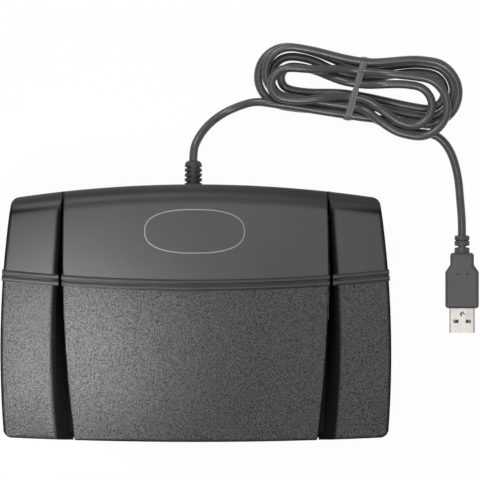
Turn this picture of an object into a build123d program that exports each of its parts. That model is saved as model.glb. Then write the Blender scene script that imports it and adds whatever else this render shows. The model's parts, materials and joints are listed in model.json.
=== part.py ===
"""USB foot pedal switch: three pedals on one base, with a hanked cord and a USB-A plug.

Frame: origin at the floor under the middle of the pedal block, +X right, +Y to the back, +Z up.
All lengths are in millimetres.
"""
from build123d import *
from math import acos, atan2, cos, degrees, hypot, pi, radians, sin, tan
import os

os.makedirs("parts", exist_ok=True)

# Driving dimensions of the pedal block
block_half_width = 93.0
block_back_y = 61.4
block_front_y = -61.4
widest_y = -22.0
side_arc_radius = 500.0
back_arc_radius = 582.0
front_arc_radius = 1840.0
back_corner_radius = 4.5
front_corner_radius = 4.2
crest_height = 38.0
crest_radius = 8.0
crest_lap = 0.05
front_height = 14.81
overrun = 12.0

# Pedal shells
wall = 2.2
pedal_gap = 0.7
skirt_bottom = 7.2
rear_skirt_bottom = 20.0
rear_notch_y = 34.0
rear_ramp_length = 14.0
edge_round = 1.7
crisp_round = 0.6
centre_half_width = 63.1
centre_widest_y = 22.0
centre_arc_radius = 650.0
inner_rib_bottom = 10.5
pedal_travel = 2.4

# The sloping flank along the inner side of each outer pedal, from the front to the back
flank_stations = (-62.0, -40.0, -18.0, 22.0, 62.0)
flank_leans = (2.9, 3.8, 4.1, 2.5, 0.1)
flank_bottom = 8.5
flank_rounds = (5.0, 4.4, 3.8, 3.0, 2.0)
flank_run_out = 8.0

# Grip beads across the slope
bead_radius = 1.3
bead_sink = 0.35
bead_arc_radius = 865.0
bead_front_y = 15.0
bead_pitch = 2.9
bead_rows = 2
bead_overhang = 0.5
centre_bead_clearance = 2.0

# Base pan, its ballast plate and its feet
foot_height = 2.0
pan_floor = 2.2
pan_gap = 1.4
pan_wall = 2.0
pan_front_rim = 1.4
pan_rear_height = 22.0

# Hinge
hinge_y = 46.0
hinge_z = 15.5
rod_radius = 2.0
running_clearance = 0.08
ear_radius = 4.4
ear_root = 9.0
ear_thickness = 3.0
ear_play = 2.5
centre_ear_x = 46.0
side_ear_inset = 3.9
side_ear_pitch_share = 1 / 3
centre_support_x = 18.0
support_thickness = 4.0
support_half_width = 5.0
clip_thickness = 0.8
clip_radius = 3.8
rod_end_length = 2.2
groove_radius = 1.4

# Things under each pedal, by their distance in front of or behind the middle
side_line_share = 0.465
switch_y = 10.0
spring_y = -12.0
hook_y = -30.0
bumper_y = -46.0
centre_spring_x = 30.0
centre_bumper_x = 44.0
centre_hook_x = 18.0
rest_gap = 0.3

# Return springs and their seats
spring_radius = 4.6
spring_wire = 0.9
spring_turns = 7.0
spring_pin_radius = 3.2
spring_pin_height = 4.0
seat_radius = 6.0

# Stops
bumper_radius = 4.5
bumper_height = 2.2
post_radius = 2.6
hook_width_share = 0.27
hook_thickness = 2.0
hook_reach = 2.2
toe_height = 1.8
hook_bottom = 7.8
catch_thickness = 2.0

# Lever switches
switch_length = 19.8
switch_width = 6.4
switch_height = 10.2
lever_radius = 16.0
lever_pivot_inset = 2.5
lever_thickness = 0.4
lever_width = 4.2
lever_rise = 2.4
nub_width = 5.0
nub_length = 3.0

# Circuit board
board_margin = 7.0
board_depth = 27.0
board_thickness = 1.6
board_y = 10.5
board_stand = 1.6
board_screw_shares = (0.24, 0.67)
board_screw_setback = 8.0
pin_radius = 0.45
pin_pitch = 8.8
pin_reach = 3.0

# Plungers, screws and small parts on the board
plunger_radius = 0.8
plunger_length = 3.2
plunger_inset = 6.0
plunger_gap = 0.12
screw_radius = 1.3
screw_head_radius = 2.5
screw_head_height = 1.3
boss_radius = 3.0
boss_height = 2.4
chip_size = 8.0
chip_height = 1.4
chip_x = 36.0
chip_legs = 7
chip_leg_width = 0.5
chip_leg_reach = 1.2
header_x = 14.0
header_width = 11.0
header_depth = 6.0
header_height = 6.4

# Strain relief in the back wall
relief_x = -1.3
relief_z = 10.0
relief_length = 11.6
relief_radius = 4.05
relief_collar_radius = 4.6
relief_collar_length = 1.2
relief_neck_radius = 3.1
relief_flange_length = 1.6
relief_grooves = 4
relief_pitch = 2.4
relief_groove_width = 1.1
relief_groove_depth = 1.3
relief_spine = 3.0
relief_end_round = 1.8

# Ballast plate under the pan, its screws and the feet
plate_side_margin = 28.0
plate_end_margin = 19.4
plate_thickness = 1.0
plate_corner = 4.0
plate_clearance = 0.1
plate_screw_inset = 8.5
foot_radius = 6.5
foot_front_insets = (13.0, 14.4)
foot_back_insets = (17.0, 15.4)

# Cord, its hank and its tie
cord_radius = 2.0
hank_x = 76.7
hank_y = 107.8
hank_angle = -9.0
hank_lift = 0.65
layer_step = 4.55
loop_runs = 5
loop_step = 2.35
waist_level = 13.5
waist_step = 2.45
left_level = 15.0
left_middle = 1.9
left_reach = 34.0
right_level = 18.3
right_middle = 0.4
right_reach = 31.5
hank_start_run = 8.0
hank_end_reach = 26.5
hank_end_run = 4.2
straight_angle = 0.1

# Points of the cord's free stretches: the inlet's by their share of the way across and their distance behind
# the board, the lead's from the strain relief's end and in the hank's own frame, and the tail's from the plug's end
inlet_run = 7.3
inlet_steps = ((0.2, 17.2), (0.68, 12.8))
lead_first_run = 5.0
lead_steps = (
    (1.9, 10.0, 8.8),
    (5.3, 15.2, 6.4),
    (9.9, 19.7, 4.2),
    (15.5, 23.4, 2.7),
    (22.2, 26.3, 3.9),
    (29.7, 28.4, 6.3),
)
lead_approach = ((-38.5, -0.3), (-28.5, 0.1), (-18.0, 0.0))
tail_first_run = 5.0
tail_steps = (
    (13.0, 45.3, 2.4),
    (8.6, 42.0, 2.2),
    (5.3, 37.5, 2.1),
    (3.0, 31.9, 2.2),
    (1.7, 25.1, 2.1),
    (0.7, 16.4, 2.6),
)
tail_last_run = 7.3
tie_width = 3.2
tie_thickness = 0.5
tie_margin = 0.1

# USB-A plug at the end of the cord
plug_x = 127.3
plug_sleeve_start_y = 37.2
plug_neck_y = 28.9
plug_flare_y = 23.1
plug_body_y = 19.7
plug_face_y = 2.3
plug_half_width = 7.95
plug_neck_half_width = 5.6
plug_half_height = 4.0
plug_round = 1.5
sleeve_radius = 3.6
sleeve_groove_width = 0.9
sleeve_groove_depth = 0.9
sleeve_groove_shares = (0.35, 0.72)
shell_width = 12.0
shell_height = 4.5
shell_length = 11.75
shell_wall = 0.3
shell_round = 0.6
latch_width = 2.4
latch_length = 1.6
latch_x = 2.9
latch_setback = 6.2
tongue_width = 10.8
tongue_height = 1.9
tongue_length = 10.6
contact_width = 1.0
contact_thickness = 0.15
contact_xs = (-3.5, -1.0, 1.0, 3.5)
contact_lengths = (8.6, 7.6, 7.6, 8.6)

# Slope of the pedals' top, from its height at the front edge to where it meets the crest
crest_y = block_back_y - crest_radius
crest_z = crest_height - crest_radius
slope_run = crest_y - block_front_y
slope_rise = crest_z - front_height
slope_angle = degrees(atan2(slope_rise, slope_run) + acos(-crest_radius / hypot(slope_run, slope_rise))) - 90

# Places across the block that follow from its width and from the dividing lines
side_width = block_half_width - centre_half_width
side_line_x = centre_half_width + side_line_share * side_width
hook_width = hook_width_share * side_width
side_ear_x = centre_half_width + side_ear_inset
side_ear_pitch = side_ear_pitch_share * side_width
support_step = ear_thickness / 2 + ear_play + support_thickness / 2
support_xs = (centre_support_x, centre_ear_x - support_step, centre_ear_x + support_step,
              side_ear_x + side_ear_pitch / 2)
clip_x = side_ear_x + side_ear_pitch + ear_thickness / 2 + clip_thickness
rod_half_length = clip_x + rod_end_length
board_length = 2 * (side_line_x + board_margin)
plate_half_length = block_half_width - plate_side_margin
plate_half_depth = block_back_y - plate_end_margin
plate_screw_x = plate_half_length - plate_screw_inset
plate_screw_y = plate_half_depth - plate_screw_inset
foot_front = (block_half_width - foot_front_insets[0], block_front_y + foot_front_insets[1])
foot_back = (block_half_width - foot_back_insets[0], block_back_y - foot_back_insets[1])

# Heights that follow from the sizes above
pan_top = foot_height + pan_floor
board_bottom = pan_top + board_stand
board_top = board_bottom + board_thickness
switch_top = board_top + switch_height
lever_pivot_y = switch_y + switch_length / 2 - lever_pivot_inset
lever_pivot_z = switch_top + lever_thickness
nub_y = lever_pivot_y - lever_radius
nub_bottom = lever_pivot_z + lever_rise + lever_thickness / 2 + rest_gap
bumper_top = pan_top + bumper_height
post_drop = (hinge_y - bumper_y) * sin(radians(pedal_travel))
post_bottom = bumper_top + post_drop + rest_gap
slope_normal = (0, -sin(radians(slope_angle)), cos(radians(slope_angle)))


def slope_height(y, drop=0.0):
    """Height of the sloping top in the middle plane, lowered by drop at right angles to the slope."""
    lift = crest_radius * (1 / cos(radians(slope_angle)) - 1)
    rise = (y - crest_y) * tan(radians(slope_angle))
    return crest_height + lift + rise - drop / cos(radians(slope_angle))


spring_top = slope_height(spring_y - seat_radius, wall) - rest_gap


def block_outline(inset=0.0):
    """Outline of the whole pedal block seen from above, drawn in by inset."""
    side_centre_x = block_half_width - side_arc_radius
    with BuildSketch() as outline:
        with Locations((0, block_back_y - back_arc_radius)):
            Circle(back_arc_radius - inset)
        with Locations((0, block_front_y + front_arc_radius)):
            Circle(front_arc_radius - inset, mode=Mode.INTERSECT)
        with Locations((side_centre_x, widest_y)):
            Circle(side_arc_radius - inset, mode=Mode.INTERSECT)
        with Locations((-side_centre_x, widest_y)):
            Circle(side_arc_radius - inset, mode=Mode.INTERSECT)
        if front_corner_radius > inset:
            fillet(outline.vertices().sort_by(Axis.Y)[:2], front_corner_radius - inset)
        if back_corner_radius > inset:
            fillet(outline.vertices().sort_by(Axis.Y)[-2:], back_corner_radius - inset)
    return outline.sketch


def centre_strip(widen=0.0):
    """Strip between the two long dividing arcs, made wider by widen on each side."""
    with BuildSketch() as strip:
        for side in (-1, 1):
            with Locations((side * (centre_half_width + widen - centre_arc_radius), centre_widest_y)):
                Circle(centre_arc_radius, mode=Mode.ADD if side < 0 else Mode.INTERSECT)
    return strip.sketch


def top_form(drop=0.0):
    """Everything under the pedals' top: a flat slope that rolls over a curved crest at the back."""
    radius = crest_radius - drop
    roll = radians(90 + slope_angle)
    crest_centre = (crest_y + crest_lap, crest_z)
    roll_start = (crest_centre[0] - radius * sin(radians(slope_angle)),
                  crest_centre[1] + radius * cos(radians(slope_angle)))
    roll_middle = (crest_centre[0] + radius * sin(roll / 2 - radians(slope_angle)),
                   crest_centre[1] + radius * cos(roll / 2 - radians(slope_angle)))
    roll_end = (crest_centre[0] + radius, crest_centre[1])
    front = block_front_y - overrun
    swing = 16.0
    swing_axis = Axis((0, block_back_y - back_arc_radius, 0), slope_normal)
    with BuildPart() as form:
        with BuildSketch(Plane.YZ):
            with BuildLine():
                Polyline((front, -overrun), (front, slope_height(front, drop)), roll_start)
                ThreePointArc(roll_start, roll_middle, roll_end)
                Polyline(roll_end, (roll_end[0] + overrun, roll_end[1]), (roll_end[0] + overrun, -2 * overrun),
                         (front, -2 * overrun), (front, -overrun))
            make_face()
        revolve(axis=swing_axis, revolution_arc=2 * swing)
    return form.part.rotate(swing_axis, -swing)


def flank_section(station, top, radius, shift, side):
    """Outline of the air beside an outer pedal's flank at one station, with the flank's top rounded over."""
    reach = station - centre_widest_y
    foot_x = centre_half_width + pedal_gap / 2 + shift - reach * reach / (2 * centre_arc_radius)
    top_x = top + shift
    rim = slope_height(station)
    steep = atan2(rim - flank_bottom, top_x - foot_x)
    shallow = radians(flank_run_out)
    run_out = radius * tan(steep / 2)
    corner_x = top_x - run_out * tan(shallow) / (tan(steep) - tan(shallow))
    corner_z = flank_bottom + (corner_x - foot_x) * tan(steep)
    tangent = radius * tan((steep - shallow) / 2)
    arc_start = (corner_x - tangent * cos(steep), corner_z - tangent * sin(steep))
    arc_end = (corner_x + tangent * cos(shallow), corner_z + tangent * sin(shallow))
    arc_centre = (arc_start[0] + radius * sin(steep), arc_start[1] - radius * cos(steep))
    middle = (steep + shallow) / 2
    arc_middle = (arc_centre[0] - radius * sin(middle), arc_centre[1] + radius * cos(middle))
    far = (arc_end[0] + overrun, arc_end[1] + overrun * tan(shallow))
    with BuildSketch(Plane.XZ.offset(-station)) as section:
        with BuildLine():
            Polyline((side * (foot_x - overrun), flank_bottom), (side * foot_x, flank_bottom),
                     (side * arc_start[0], arc_start[1]))
            ThreePointArc((side * arc_start[0], arc_start[1]), (side * arc_middle[0], arc_middle[1]),
                          (side * arc_end[0], arc_end[1]))
            Polyline((side * arc_end[0], arc_end[1]), (side * far[0], far[1]),
                     (side * far[0], rim + overrun), (side * (foot_x - overrun), rim + overrun),
                     (side * (foot_x - overrun), flank_bottom))
        make_face()
    return section.sketch


def flank_tool(shift=0.0, side=1):
    """Air beside the centre pedal, whose outer face is the flank, moved out by shift."""
    with BuildPart() as tool:
        for station, lean, radius in zip(flank_stations, flank_leans, flank_rounds):
            add(flank_section(station, centre_half_width + lean, radius, shift, side))
        loft()
    return tool.part


def pedal_block(side, inset=0.0, drop=0.0):
    """Solid under one pedal's top: side -1 left, 0 centre, 1 right, with its walls drawn in by inset."""
    with BuildPart() as block:
        with BuildSketch():
            add(block_outline(inset))
            if side == 0:
                add(centre_strip(-inset), mode=Mode.INTERSECT)
            else:
                add(centre_strip(pedal_gap + inset), mode=Mode.SUBTRACT)
                with Locations((side * -block_half_width, 0)):
                    Rectangle(2 * block_half_width, 4 * block_half_width, mode=Mode.SUBTRACT)
        extrude(amount=crest_height + overrun)
        add(top_form(drop), mode=Mode.INTERSECT)
    return block.part


def rim_edges(block, reach):
    """Edges round a block's top that reach picks by their bounding box."""
    lowest = slope_height(block_front_y) - edge_round
    return block.edges().filter_by(
        lambda edge: edge.bounding_box().min.Z > lowest and reach(edge.bounding_box())
    )


def pedal_shell(side):
    """One pedal's hollow shell, with its outer edges rounded and its flank cut."""
    front_limit = block_front_y + front_corner_radius
    outer_limit = block_half_width - 2 * back_corner_radius
    with BuildPart() as shell:
        add(pedal_block(side))
        if side == 0:
            fillet(rim_edges(shell, lambda box: box.max.Y < front_limit), edge_round)
            fillet(rim_edges(shell, lambda box: box.size.X < crest_radius < box.size.Y), crisp_round)
        else:
            outer = rim_edges(
                shell,
                lambda box: box.max.Y < front_limit or min(side * box.min.X, side * box.max.X) > outer_limit,
            )
            fillet(outer, edge_round)
            add(flank_tool(0, side), mode=Mode.SUBTRACT)
    with BuildPart() as hollow:
        add(pedal_block(side, wall, wall))
        if side:
            add(flank_tool(wall, side), mode=Mode.SUBTRACT)
    with BuildPart() as result:
        add(shell.part)
        add(hollow.part, mode=Mode.SUBTRACT)
    return result.part


def cover_clearance():
    """Room that the base pan takes under the pedals: low at the front, high round the hinge."""
    low = inner_rib_bottom
    high = pan_rear_height + pan_gap
    ramp_end = rear_notch_y + rear_ramp_length
    with BuildPart() as room:
        with BuildSketch(Plane.YZ):
            with BuildLine():
                Polyline(
                    (block_front_y, -overrun),
                    (block_front_y, low),
                    (rear_notch_y - rear_ramp_length, low),
                    (rear_notch_y, high),
                    (ramp_end, high),
                    (block_back_y, high),
                    (block_back_y, -overrun),
                    close=True,
                )
            make_face()
        extrude(amount=block_half_width, both=True)
        with BuildSketch(Plane.XY.offset(-overrun)):
            add(block_outline(wall))
        extrude(amount=crest_height + overrun, mode=Mode.INTERSECT)
    return room.part


def skirt_trim():
    """What is cut from under the pedals' outer skirts: low along the sides and the front, high at the back."""
    ramp_end = rear_notch_y + rear_ramp_length
    with BuildPart() as trim:
        with BuildSketch(Plane.YZ):
            with BuildLine():
                Polyline(
                    (block_front_y - overrun, -overrun),
                    (block_front_y - overrun, skirt_bottom),
                    (rear_notch_y, skirt_bottom),
                    (ramp_end, rear_skirt_bottom),
                    (block_back_y + overrun, rear_skirt_bottom),
                    (block_back_y + overrun, -overrun),
                    close=True,
                )
            make_face()
        extrude(amount=block_half_width + overrun, both=True)
    return trim.part


def hung(outline, bottom):
    """Solid that hangs from the inside of the roof down to bottom, with the given outline from above."""
    with BuildPart() as piece:
        with BuildSketch(Plane.XY.offset(bottom)):
            add(outline)
        extrude(amount=crest_height)
        add(top_form(wall / 2), mode=Mode.INTERSECT)
    return piece.part


def hinge_ear(x):
    """Ear that hangs round the hinge rod, wider at its root."""
    with BuildPart() as ear:
        with BuildSketch(Plane.YZ.offset(x - ear_thickness / 2)):
            with BuildLine():
                Polyline(
                    (hinge_y - ear_radius, hinge_z),
                    (hinge_y - ear_root, crest_height),
                    (hinge_y + ear_radius, crest_height),
                    (hinge_y + ear_radius, hinge_z),
                    close=True,
                )
            make_face()
            with Locations((hinge_y, hinge_z)):
                Circle(ear_radius)
                Circle(rod_radius + running_clearance, mode=Mode.SUBTRACT)
        extrude(amount=ear_thickness)
        add(top_form(wall / 2), mode=Mode.INTERSECT)
    return ear.part


def disc(x, y, radius):
    """Round outline at a place seen from above."""
    with BuildSketch() as outline:
        with Locations((x, y)):
            Circle(radius)
    return outline.sketch


def block_at(x, y, width, depth):
    """Rectangular outline at a place seen from above."""
    with BuildSketch() as outline:
        with Locations((x, y)):
            Rectangle(width, depth)
    return outline.sketch


def grip_bead(side, row):
    """One of the half-round beads that cross a pedal's slope on a long arc that bulges to the front."""
    slope_plane = Plane(origin=(0, 0, slope_height(0)), x_dir=(1, 0, 0), z_dir=slope_normal)
    arc_centre_y = bead_front_y / cos(radians(slope_angle)) + bead_arc_radius - row * bead_pitch
    centre = slope_plane.from_local_coords((0, arc_centre_y, -bead_sink))
    with BuildPart() as bead:
        with BuildSketch(Plane(origin=centre, x_dir=slope_plane.y_dir, z_dir=slope_plane.x_dir)):
            with Locations((-bead_arc_radius, 0)):
                Circle(bead_radius)
        revolve(axis=Axis(centre, slope_plane.z_dir), revolution_arc=360)
        with BuildSketch():
            add(block_outline(-bead_overhang))
            if side == 0:
                add(centre_strip(bead_overhang), mode=Mode.INTERSECT)
            else:
                add(centre_strip(centre_bead_clearance), mode=Mode.SUBTRACT)
                with Locations((side * -block_half_width, 0)):
                    Rectangle(2 * block_half_width, 4 * block_half_width, mode=Mode.SUBTRACT)
        extrude(amount=crest_height, mode=Mode.INTERSECT)
    return bead.part


def make_pedal(side):
    """One whole pedal: shell, ears, spring seats, post, hook, switch nub and grip beads."""
    line_x = side * side_line_x
    if side == 0:
        ear_xs = (-centre_ear_x, centre_ear_x)
        spring_xs = (-centre_spring_x, centre_spring_x)
        bumper_xs = (-centre_bumper_x, centre_bumper_x)
        hook_xs = (-centre_hook_x, centre_hook_x)
    else:
        ear_xs = (side * side_ear_x, side * (side_ear_x + side_ear_pitch))
        spring_xs = (line_x,)
        bumper_xs = (line_x,)
        hook_xs = (line_x,)
    with BuildPart() as pedal:
        add(pedal_shell(side))
        add(cover_clearance(), mode=Mode.SUBTRACT)
        add(skirt_trim(), mode=Mode.SUBTRACT)
        for row in range(bead_rows):
            add(grip_bead(side, row))
        for x in ear_xs:
            add(hinge_ear(x))
        for x in spring_xs:
            add(hung(disc(x, spring_y, seat_radius), spring_top))
            add(hung(disc(x, spring_y, spring_pin_radius), spring_top - spring_pin_height))
        for x in bumper_xs:
            add(hung(disc(x, bumper_y, post_radius), post_bottom))
        for x in hook_xs:
            add(hung(block_at(x, hook_y, hook_width, hook_thickness), hook_bottom))
            with BuildSketch(Plane.XY.offset(hook_bottom)):
                with Locations((x, hook_y - hook_reach / 2)):
                    Rectangle(hook_width, hook_thickness + hook_reach)
            extrude(amount=toe_height)
        add(hung(block_at(line_x, nub_y, nub_width, nub_length), nub_bottom))
    return pedal.part


def pan_profile():
    """Side outline of the base pan's walls: a low rim at the front, high walls round the hinge."""
    low = pan_top + pan_front_rim
    start = rear_notch_y - rear_ramp_length + pan_wall
    with BuildPart() as room:
        with BuildSketch(Plane.YZ):
            with BuildLine():
                Polyline(
                    (block_front_y, foot_height),
                    (block_front_y, low),
                    (start, low),
                    (start + rear_ramp_length, pan_rear_height),
                    (block_back_y, pan_rear_height),
                    (block_back_y, foot_height),
                    close=True,
                )
            make_face()
        extrude(amount=block_half_width, both=True)
    return room.part


def rod_support(x):
    """Upright in the pan that carries the hinge rod."""
    with BuildPart() as support:
        with BuildSketch(Plane.YZ.offset(x - support_thickness / 2)):
            with BuildLine():
                Polyline(
                    (hinge_y - 1.6 * support_half_width, pan_top),
                    (hinge_y - support_half_width, hinge_z),
                    (hinge_y + support_half_width, hinge_z),
                    (hinge_y + 1.6 * support_half_width, pan_top),
                    close=True,
                )
            make_face()
            with Locations((hinge_y, hinge_z)):
                Circle(support_half_width)
                Circle(rod_radius + running_clearance / 2, mode=Mode.SUBTRACT)
        extrude(amount=support_thickness)
    return support.part


def both_sides(values):
    """The values and their negatives, in rising order."""
    return sorted([-value for value in values] + list(values))


spring_places = [(x, spring_y) for x in both_sides((centre_spring_x, side_line_x))]
bumper_places = [(x, bumper_y) for x in both_sides((centre_bumper_x, side_line_x))]
hook_places = [(x, hook_y) for x in both_sides((centre_hook_x, side_line_x))]
plate_screw_places = [(x, y) for x in both_sides((plate_screw_x,)) for y in both_sides((plate_screw_y,))]
foot_places = [(side * x, y) for x, y in (foot_front, foot_back) for side in (-1, 1)]
board_screw_xs = both_sides([share * board_length / 2 for share in board_screw_shares])
board_screw_places = [(x, board_y - board_screw_setback) for x in board_screw_xs]
pan_inset = wall + pan_gap
catch_bottom = hook_bottom + toe_height + rest_gap
catch_depth = 2 * hook_reach
catch_front_y = hook_y - hook_thickness / 2 - hook_reach - 1.5 * rest_gap - hook_thickness
bumper_stem_radius = bumper_radius / 3
bumper_stem_length = pan_floor / 2


def make_base_pan():
    """Moulded tray that carries everything, with the rod supports, catches, bosses and spring pins."""
    with BuildPart() as pan:
        with BuildSketch(Plane.XY.offset(foot_height)):
            add(block_outline(pan_inset))
        extrude(amount=pan_rear_height)
        with BuildSketch(Plane.XY.offset(pan_top)):
            add(block_outline(pan_inset + pan_wall))
        extrude(amount=pan_rear_height, mode=Mode.SUBTRACT)
        add(pan_profile(), mode=Mode.INTERSECT)
        for x in both_sides(support_xs):
            add(rod_support(x))
        with BuildSketch(Plane.XY.offset(pan_top)):
            with Locations(*spring_places):
                Circle(spring_pin_radius)
        extrude(amount=spring_pin_height / 2)
        with BuildSketch(Plane.XY.offset(pan_top)):
            with Locations(*board_screw_places):
                Circle(boss_radius)
        extrude(amount=board_stand)
        with BuildSketch(Plane.XY.offset(pan_top)):
            with Locations(*plate_screw_places):
                Circle(boss_radius)
        extrude(amount=boss_height)
        for x, y in hook_places:
            with BuildSketch(Plane.XY.offset(pan_top)):
                with Locations((x, catch_front_y + hook_thickness / 2)):
                    Rectangle(hook_width, hook_thickness)
            extrude(amount=catch_bottom + catch_thickness - pan_top)
            with BuildSketch(Plane.XY.offset(catch_bottom)):
                with Locations((x, catch_front_y + catch_depth / 2)):
                    Rectangle(hook_width, catch_depth)
            extrude(amount=catch_thickness)
        with BuildSketch(Plane.XY.offset(foot_height)):
            RectangleRounded(2 * (plate_half_length + plate_clearance), 2 * (plate_half_depth + plate_clearance),
                             plate_corner)
        extrude(amount=plate_thickness, mode=Mode.SUBTRACT)
        with BuildSketch(Plane.XY.offset(foot_height)):
            with Locations(*plate_screw_places):
                Circle(screw_radius)
        extrude(amount=pan_floor + boss_height / 2, mode=Mode.SUBTRACT)
        with BuildSketch(Plane.XY.offset(board_bottom)):
            with Locations(*board_screw_places):
                Circle(screw_radius)
        extrude(amount=-board_stand, mode=Mode.SUBTRACT)
        with BuildSketch(Plane.XY.offset(pan_top)):
            with Locations(*bumper_places):
                Circle(bumper_stem_radius)
        extrude(amount=-bumper_stem_length, mode=Mode.SUBTRACT)
        with BuildSketch(Plane.XZ.offset(-block_back_y)):
            with Locations((relief_x, relief_z)):
                Circle(relief_neck_radius)
        extrude(amount=3 * pan_inset, mode=Mode.SUBTRACT)
    return pan.part


def make_ballast_plate():
    """Steel plate screwed into the recess under the pan."""
    with BuildPart() as plate:
        with BuildSketch(Plane.XY.offset(foot_height)):
            RectangleRounded(2 * plate_half_length, 2 * plate_half_depth, plate_corner)
            with Locations(*plate_screw_places):
                Circle(screw_radius + plate_clearance, mode=Mode.SUBTRACT)
        extrude(amount=plate_thickness)
    return plate.part


def screws_at(places, seat, shank, up):
    """Round-headed screws whose heads sit on the plane at seat; up is 1 where the heads are above it."""
    with BuildPart() as screws:
        with BuildSketch(Plane.XY.offset(seat)):
            with Locations(*places):
                Circle(screw_head_radius)
        extrude(amount=up * screw_head_height)
        with BuildSketch(Plane.XY.offset(seat)):
            with Locations(*places):
                Circle(screw_radius - plate_clearance)
        extrude(amount=-up * shank)
        heads = screws.edges().group_by(Axis.Z)[-1 if up > 0 else 0]
        fillet(heads, screw_head_height / 2)
    return screws.part


def make_feet():
    """Four round rubber feet under the pan's corners."""
    with BuildPart() as feet:
        with BuildSketch():
            with Locations(*foot_places):
                Circle(foot_radius)
        extrude(amount=foot_height)
        chamfer(feet.edges().group_by(Axis.Z)[0], foot_height / 4)
    return feet.part


def make_rod():
    """Steel hinge rod with a groove for a clip near each end."""
    with BuildPart() as rod:
        with BuildSketch(Plane.YZ.offset(-rod_half_length)):
            with Locations((hinge_y, hinge_z)):
                Circle(rod_radius)
        extrude(amount=2 * rod_half_length)
        for x in both_sides((clip_x,)):
            with BuildSketch(Plane.YZ.offset(x - clip_thickness / 2)):
                with Locations((hinge_y, hinge_z)):
                    Circle(rod_radius)
                    Circle(groove_radius, mode=Mode.SUBTRACT)
            extrude(amount=clip_thickness, mode=Mode.SUBTRACT)
    return rod.part


def make_rod_clips():
    """Snap rings in the rod's grooves, open at the bottom."""
    with BuildPart() as clips:
        for x in both_sides((clip_x,)):
            with BuildSketch(Plane.YZ.offset(x - clip_thickness / 2)):
                with Locations((hinge_y, hinge_z)):
                    Circle(clip_radius)
                    Circle(groove_radius, mode=Mode.SUBTRACT)
                with Locations((hinge_y, hinge_z - clip_radius / 2)):
                    Rectangle(1.8 * groove_radius, clip_radius, mode=Mode.SUBTRACT)
            extrude(amount=clip_thickness)
    return clips.part


def make_springs(xs):
    """Helical return springs that stand on the pan round their pins."""
    with BuildPart() as springs:
        low = pan_top + spring_wire / 2
        high = spring_top - spring_wire / 2 - running_clearance
        for x in xs:
            with BuildLine() as coil:
                Helix((high - low) / spring_turns, high - low, spring_radius, center=(x, spring_y, low))
            with BuildSketch(Plane(origin=coil.line @ 0, z_dir=coil.line % 0)):
                Circle(spring_wire / 2)
            sweep(path=coil.line)
    return springs.part


def make_bumpers():
    """Rubber pads that stop the pedals at the end of their travel, with stems in the pan's floor."""
    with BuildPart() as bumpers:
        with BuildSketch(Plane.XY.offset(pan_top)):
            with Locations(*bumper_places):
                Circle(bumper_radius)
        extrude(amount=bumper_height)
        chamfer(bumpers.edges().group_by(Axis.Z)[-1], bumper_height / 5)
        with BuildSketch(Plane.XY.offset(pan_top)):
            with Locations(*bumper_places):
                Circle(bumper_stem_radius - plate_clearance)
        extrude(amount=-bumper_stem_length)
    return bumpers.part


switch_xs = (-side_line_x, 0.0, side_line_x)
pin_places = [(x, switch_y + step * pin_pitch) for x in switch_xs for step in (-1, 0, 1)]
plunger_y = lever_pivot_y - plunger_inset
lever_slope = lever_rise / lever_radius
plunger_top = lever_pivot_z + plunger_inset * lever_slope - lever_thickness / 2 - plunger_gap


def make_board():
    """Circuit board on the pan's bosses, with holes for its screws and for the switches' pins."""
    with BuildPart() as board:
        with BuildSketch(Plane.XY.offset(board_bottom)):
            with Locations((0, board_y)):
                RectangleRounded(board_length, board_depth, boss_radius / 2)
            with Locations(*board_screw_places):
                Circle(screw_radius, mode=Mode.SUBTRACT)
            with Locations(*pin_places):
                Circle(1.3 * pin_radius, mode=Mode.SUBTRACT)
        extrude(amount=board_thickness)
    return board.part


def make_switch_body(x):
    """Lever switch's case, with its plunger hole and its two cross holes."""
    with BuildPart() as body:
        with BuildSketch(Plane.XY.offset(board_top)):
            with Locations((x, switch_y)):
                Rectangle(switch_width, switch_length)
        extrude(amount=switch_height)
        chamfer(body.edges().filter_by(Axis.Z), switch_width / 16)
        with BuildSketch(Plane.YZ.offset(x)):
            with Locations((switch_y - pin_pitch / 2, board_top + switch_height / 4),
                           (switch_y + pin_pitch / 2, board_top + switch_height / 4)):
                Circle(plunger_radius * 1.4)
        extrude(amount=switch_width, both=True, mode=Mode.SUBTRACT)
        with BuildSketch(Plane.XY.offset(switch_top)):
            with Locations((x, plunger_y)):
                Circle(plunger_radius + running_clearance)
        extrude(amount=-plunger_length, mode=Mode.SUBTRACT)
    return body.part


def make_switch_pins(x):
    """The three solder pins under one switch, through the board."""
    with BuildPart() as pins:
        with BuildSketch(Plane.XY.offset(board_top)):
            with Locations(*[place for place in pin_places if place[0] == x]):
                Circle(pin_radius)
        extrude(amount=-pin_reach + rest_gap)
    return pins.part


def make_plunger(x):
    """Small button between the lever and the contacts inside the switch."""
    with BuildPart() as plunger:
        with BuildSketch(Plane.XY.offset(plunger_top)):
            with Locations((x, plunger_y)):
                Circle(plunger_radius)
        extrude(amount=-plunger_length)
        fillet(plunger.edges().group_by(Axis.Z)[-1], plunger_radius / 2)
    return plunger.part


def make_lever(x):
    """Spring-steel strip that turns about its rear end and slopes up to its tip under the pedal's nub."""
    tip_y = nub_y - nub_length / 3
    tip_z = lever_pivot_z + (lever_pivot_y - tip_y) * lever_slope
    half = lever_thickness / 2
    with BuildPart() as lever:
        with BuildSketch(Plane.YZ.offset(x - lever_width / 2)):
            with BuildLine():
                Polyline(
                    (lever_pivot_y, lever_pivot_z - half),
                    (lever_pivot_y, lever_pivot_z + half),
                    (tip_y, tip_z + half),
                    (tip_y, tip_z - half),
                    close=True,
                )
            make_face()
            with Locations((lever_pivot_y, lever_pivot_z)):
                Circle(0.8 * lever_thickness)
        extrude(amount=lever_width)
    return lever.part


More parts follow.
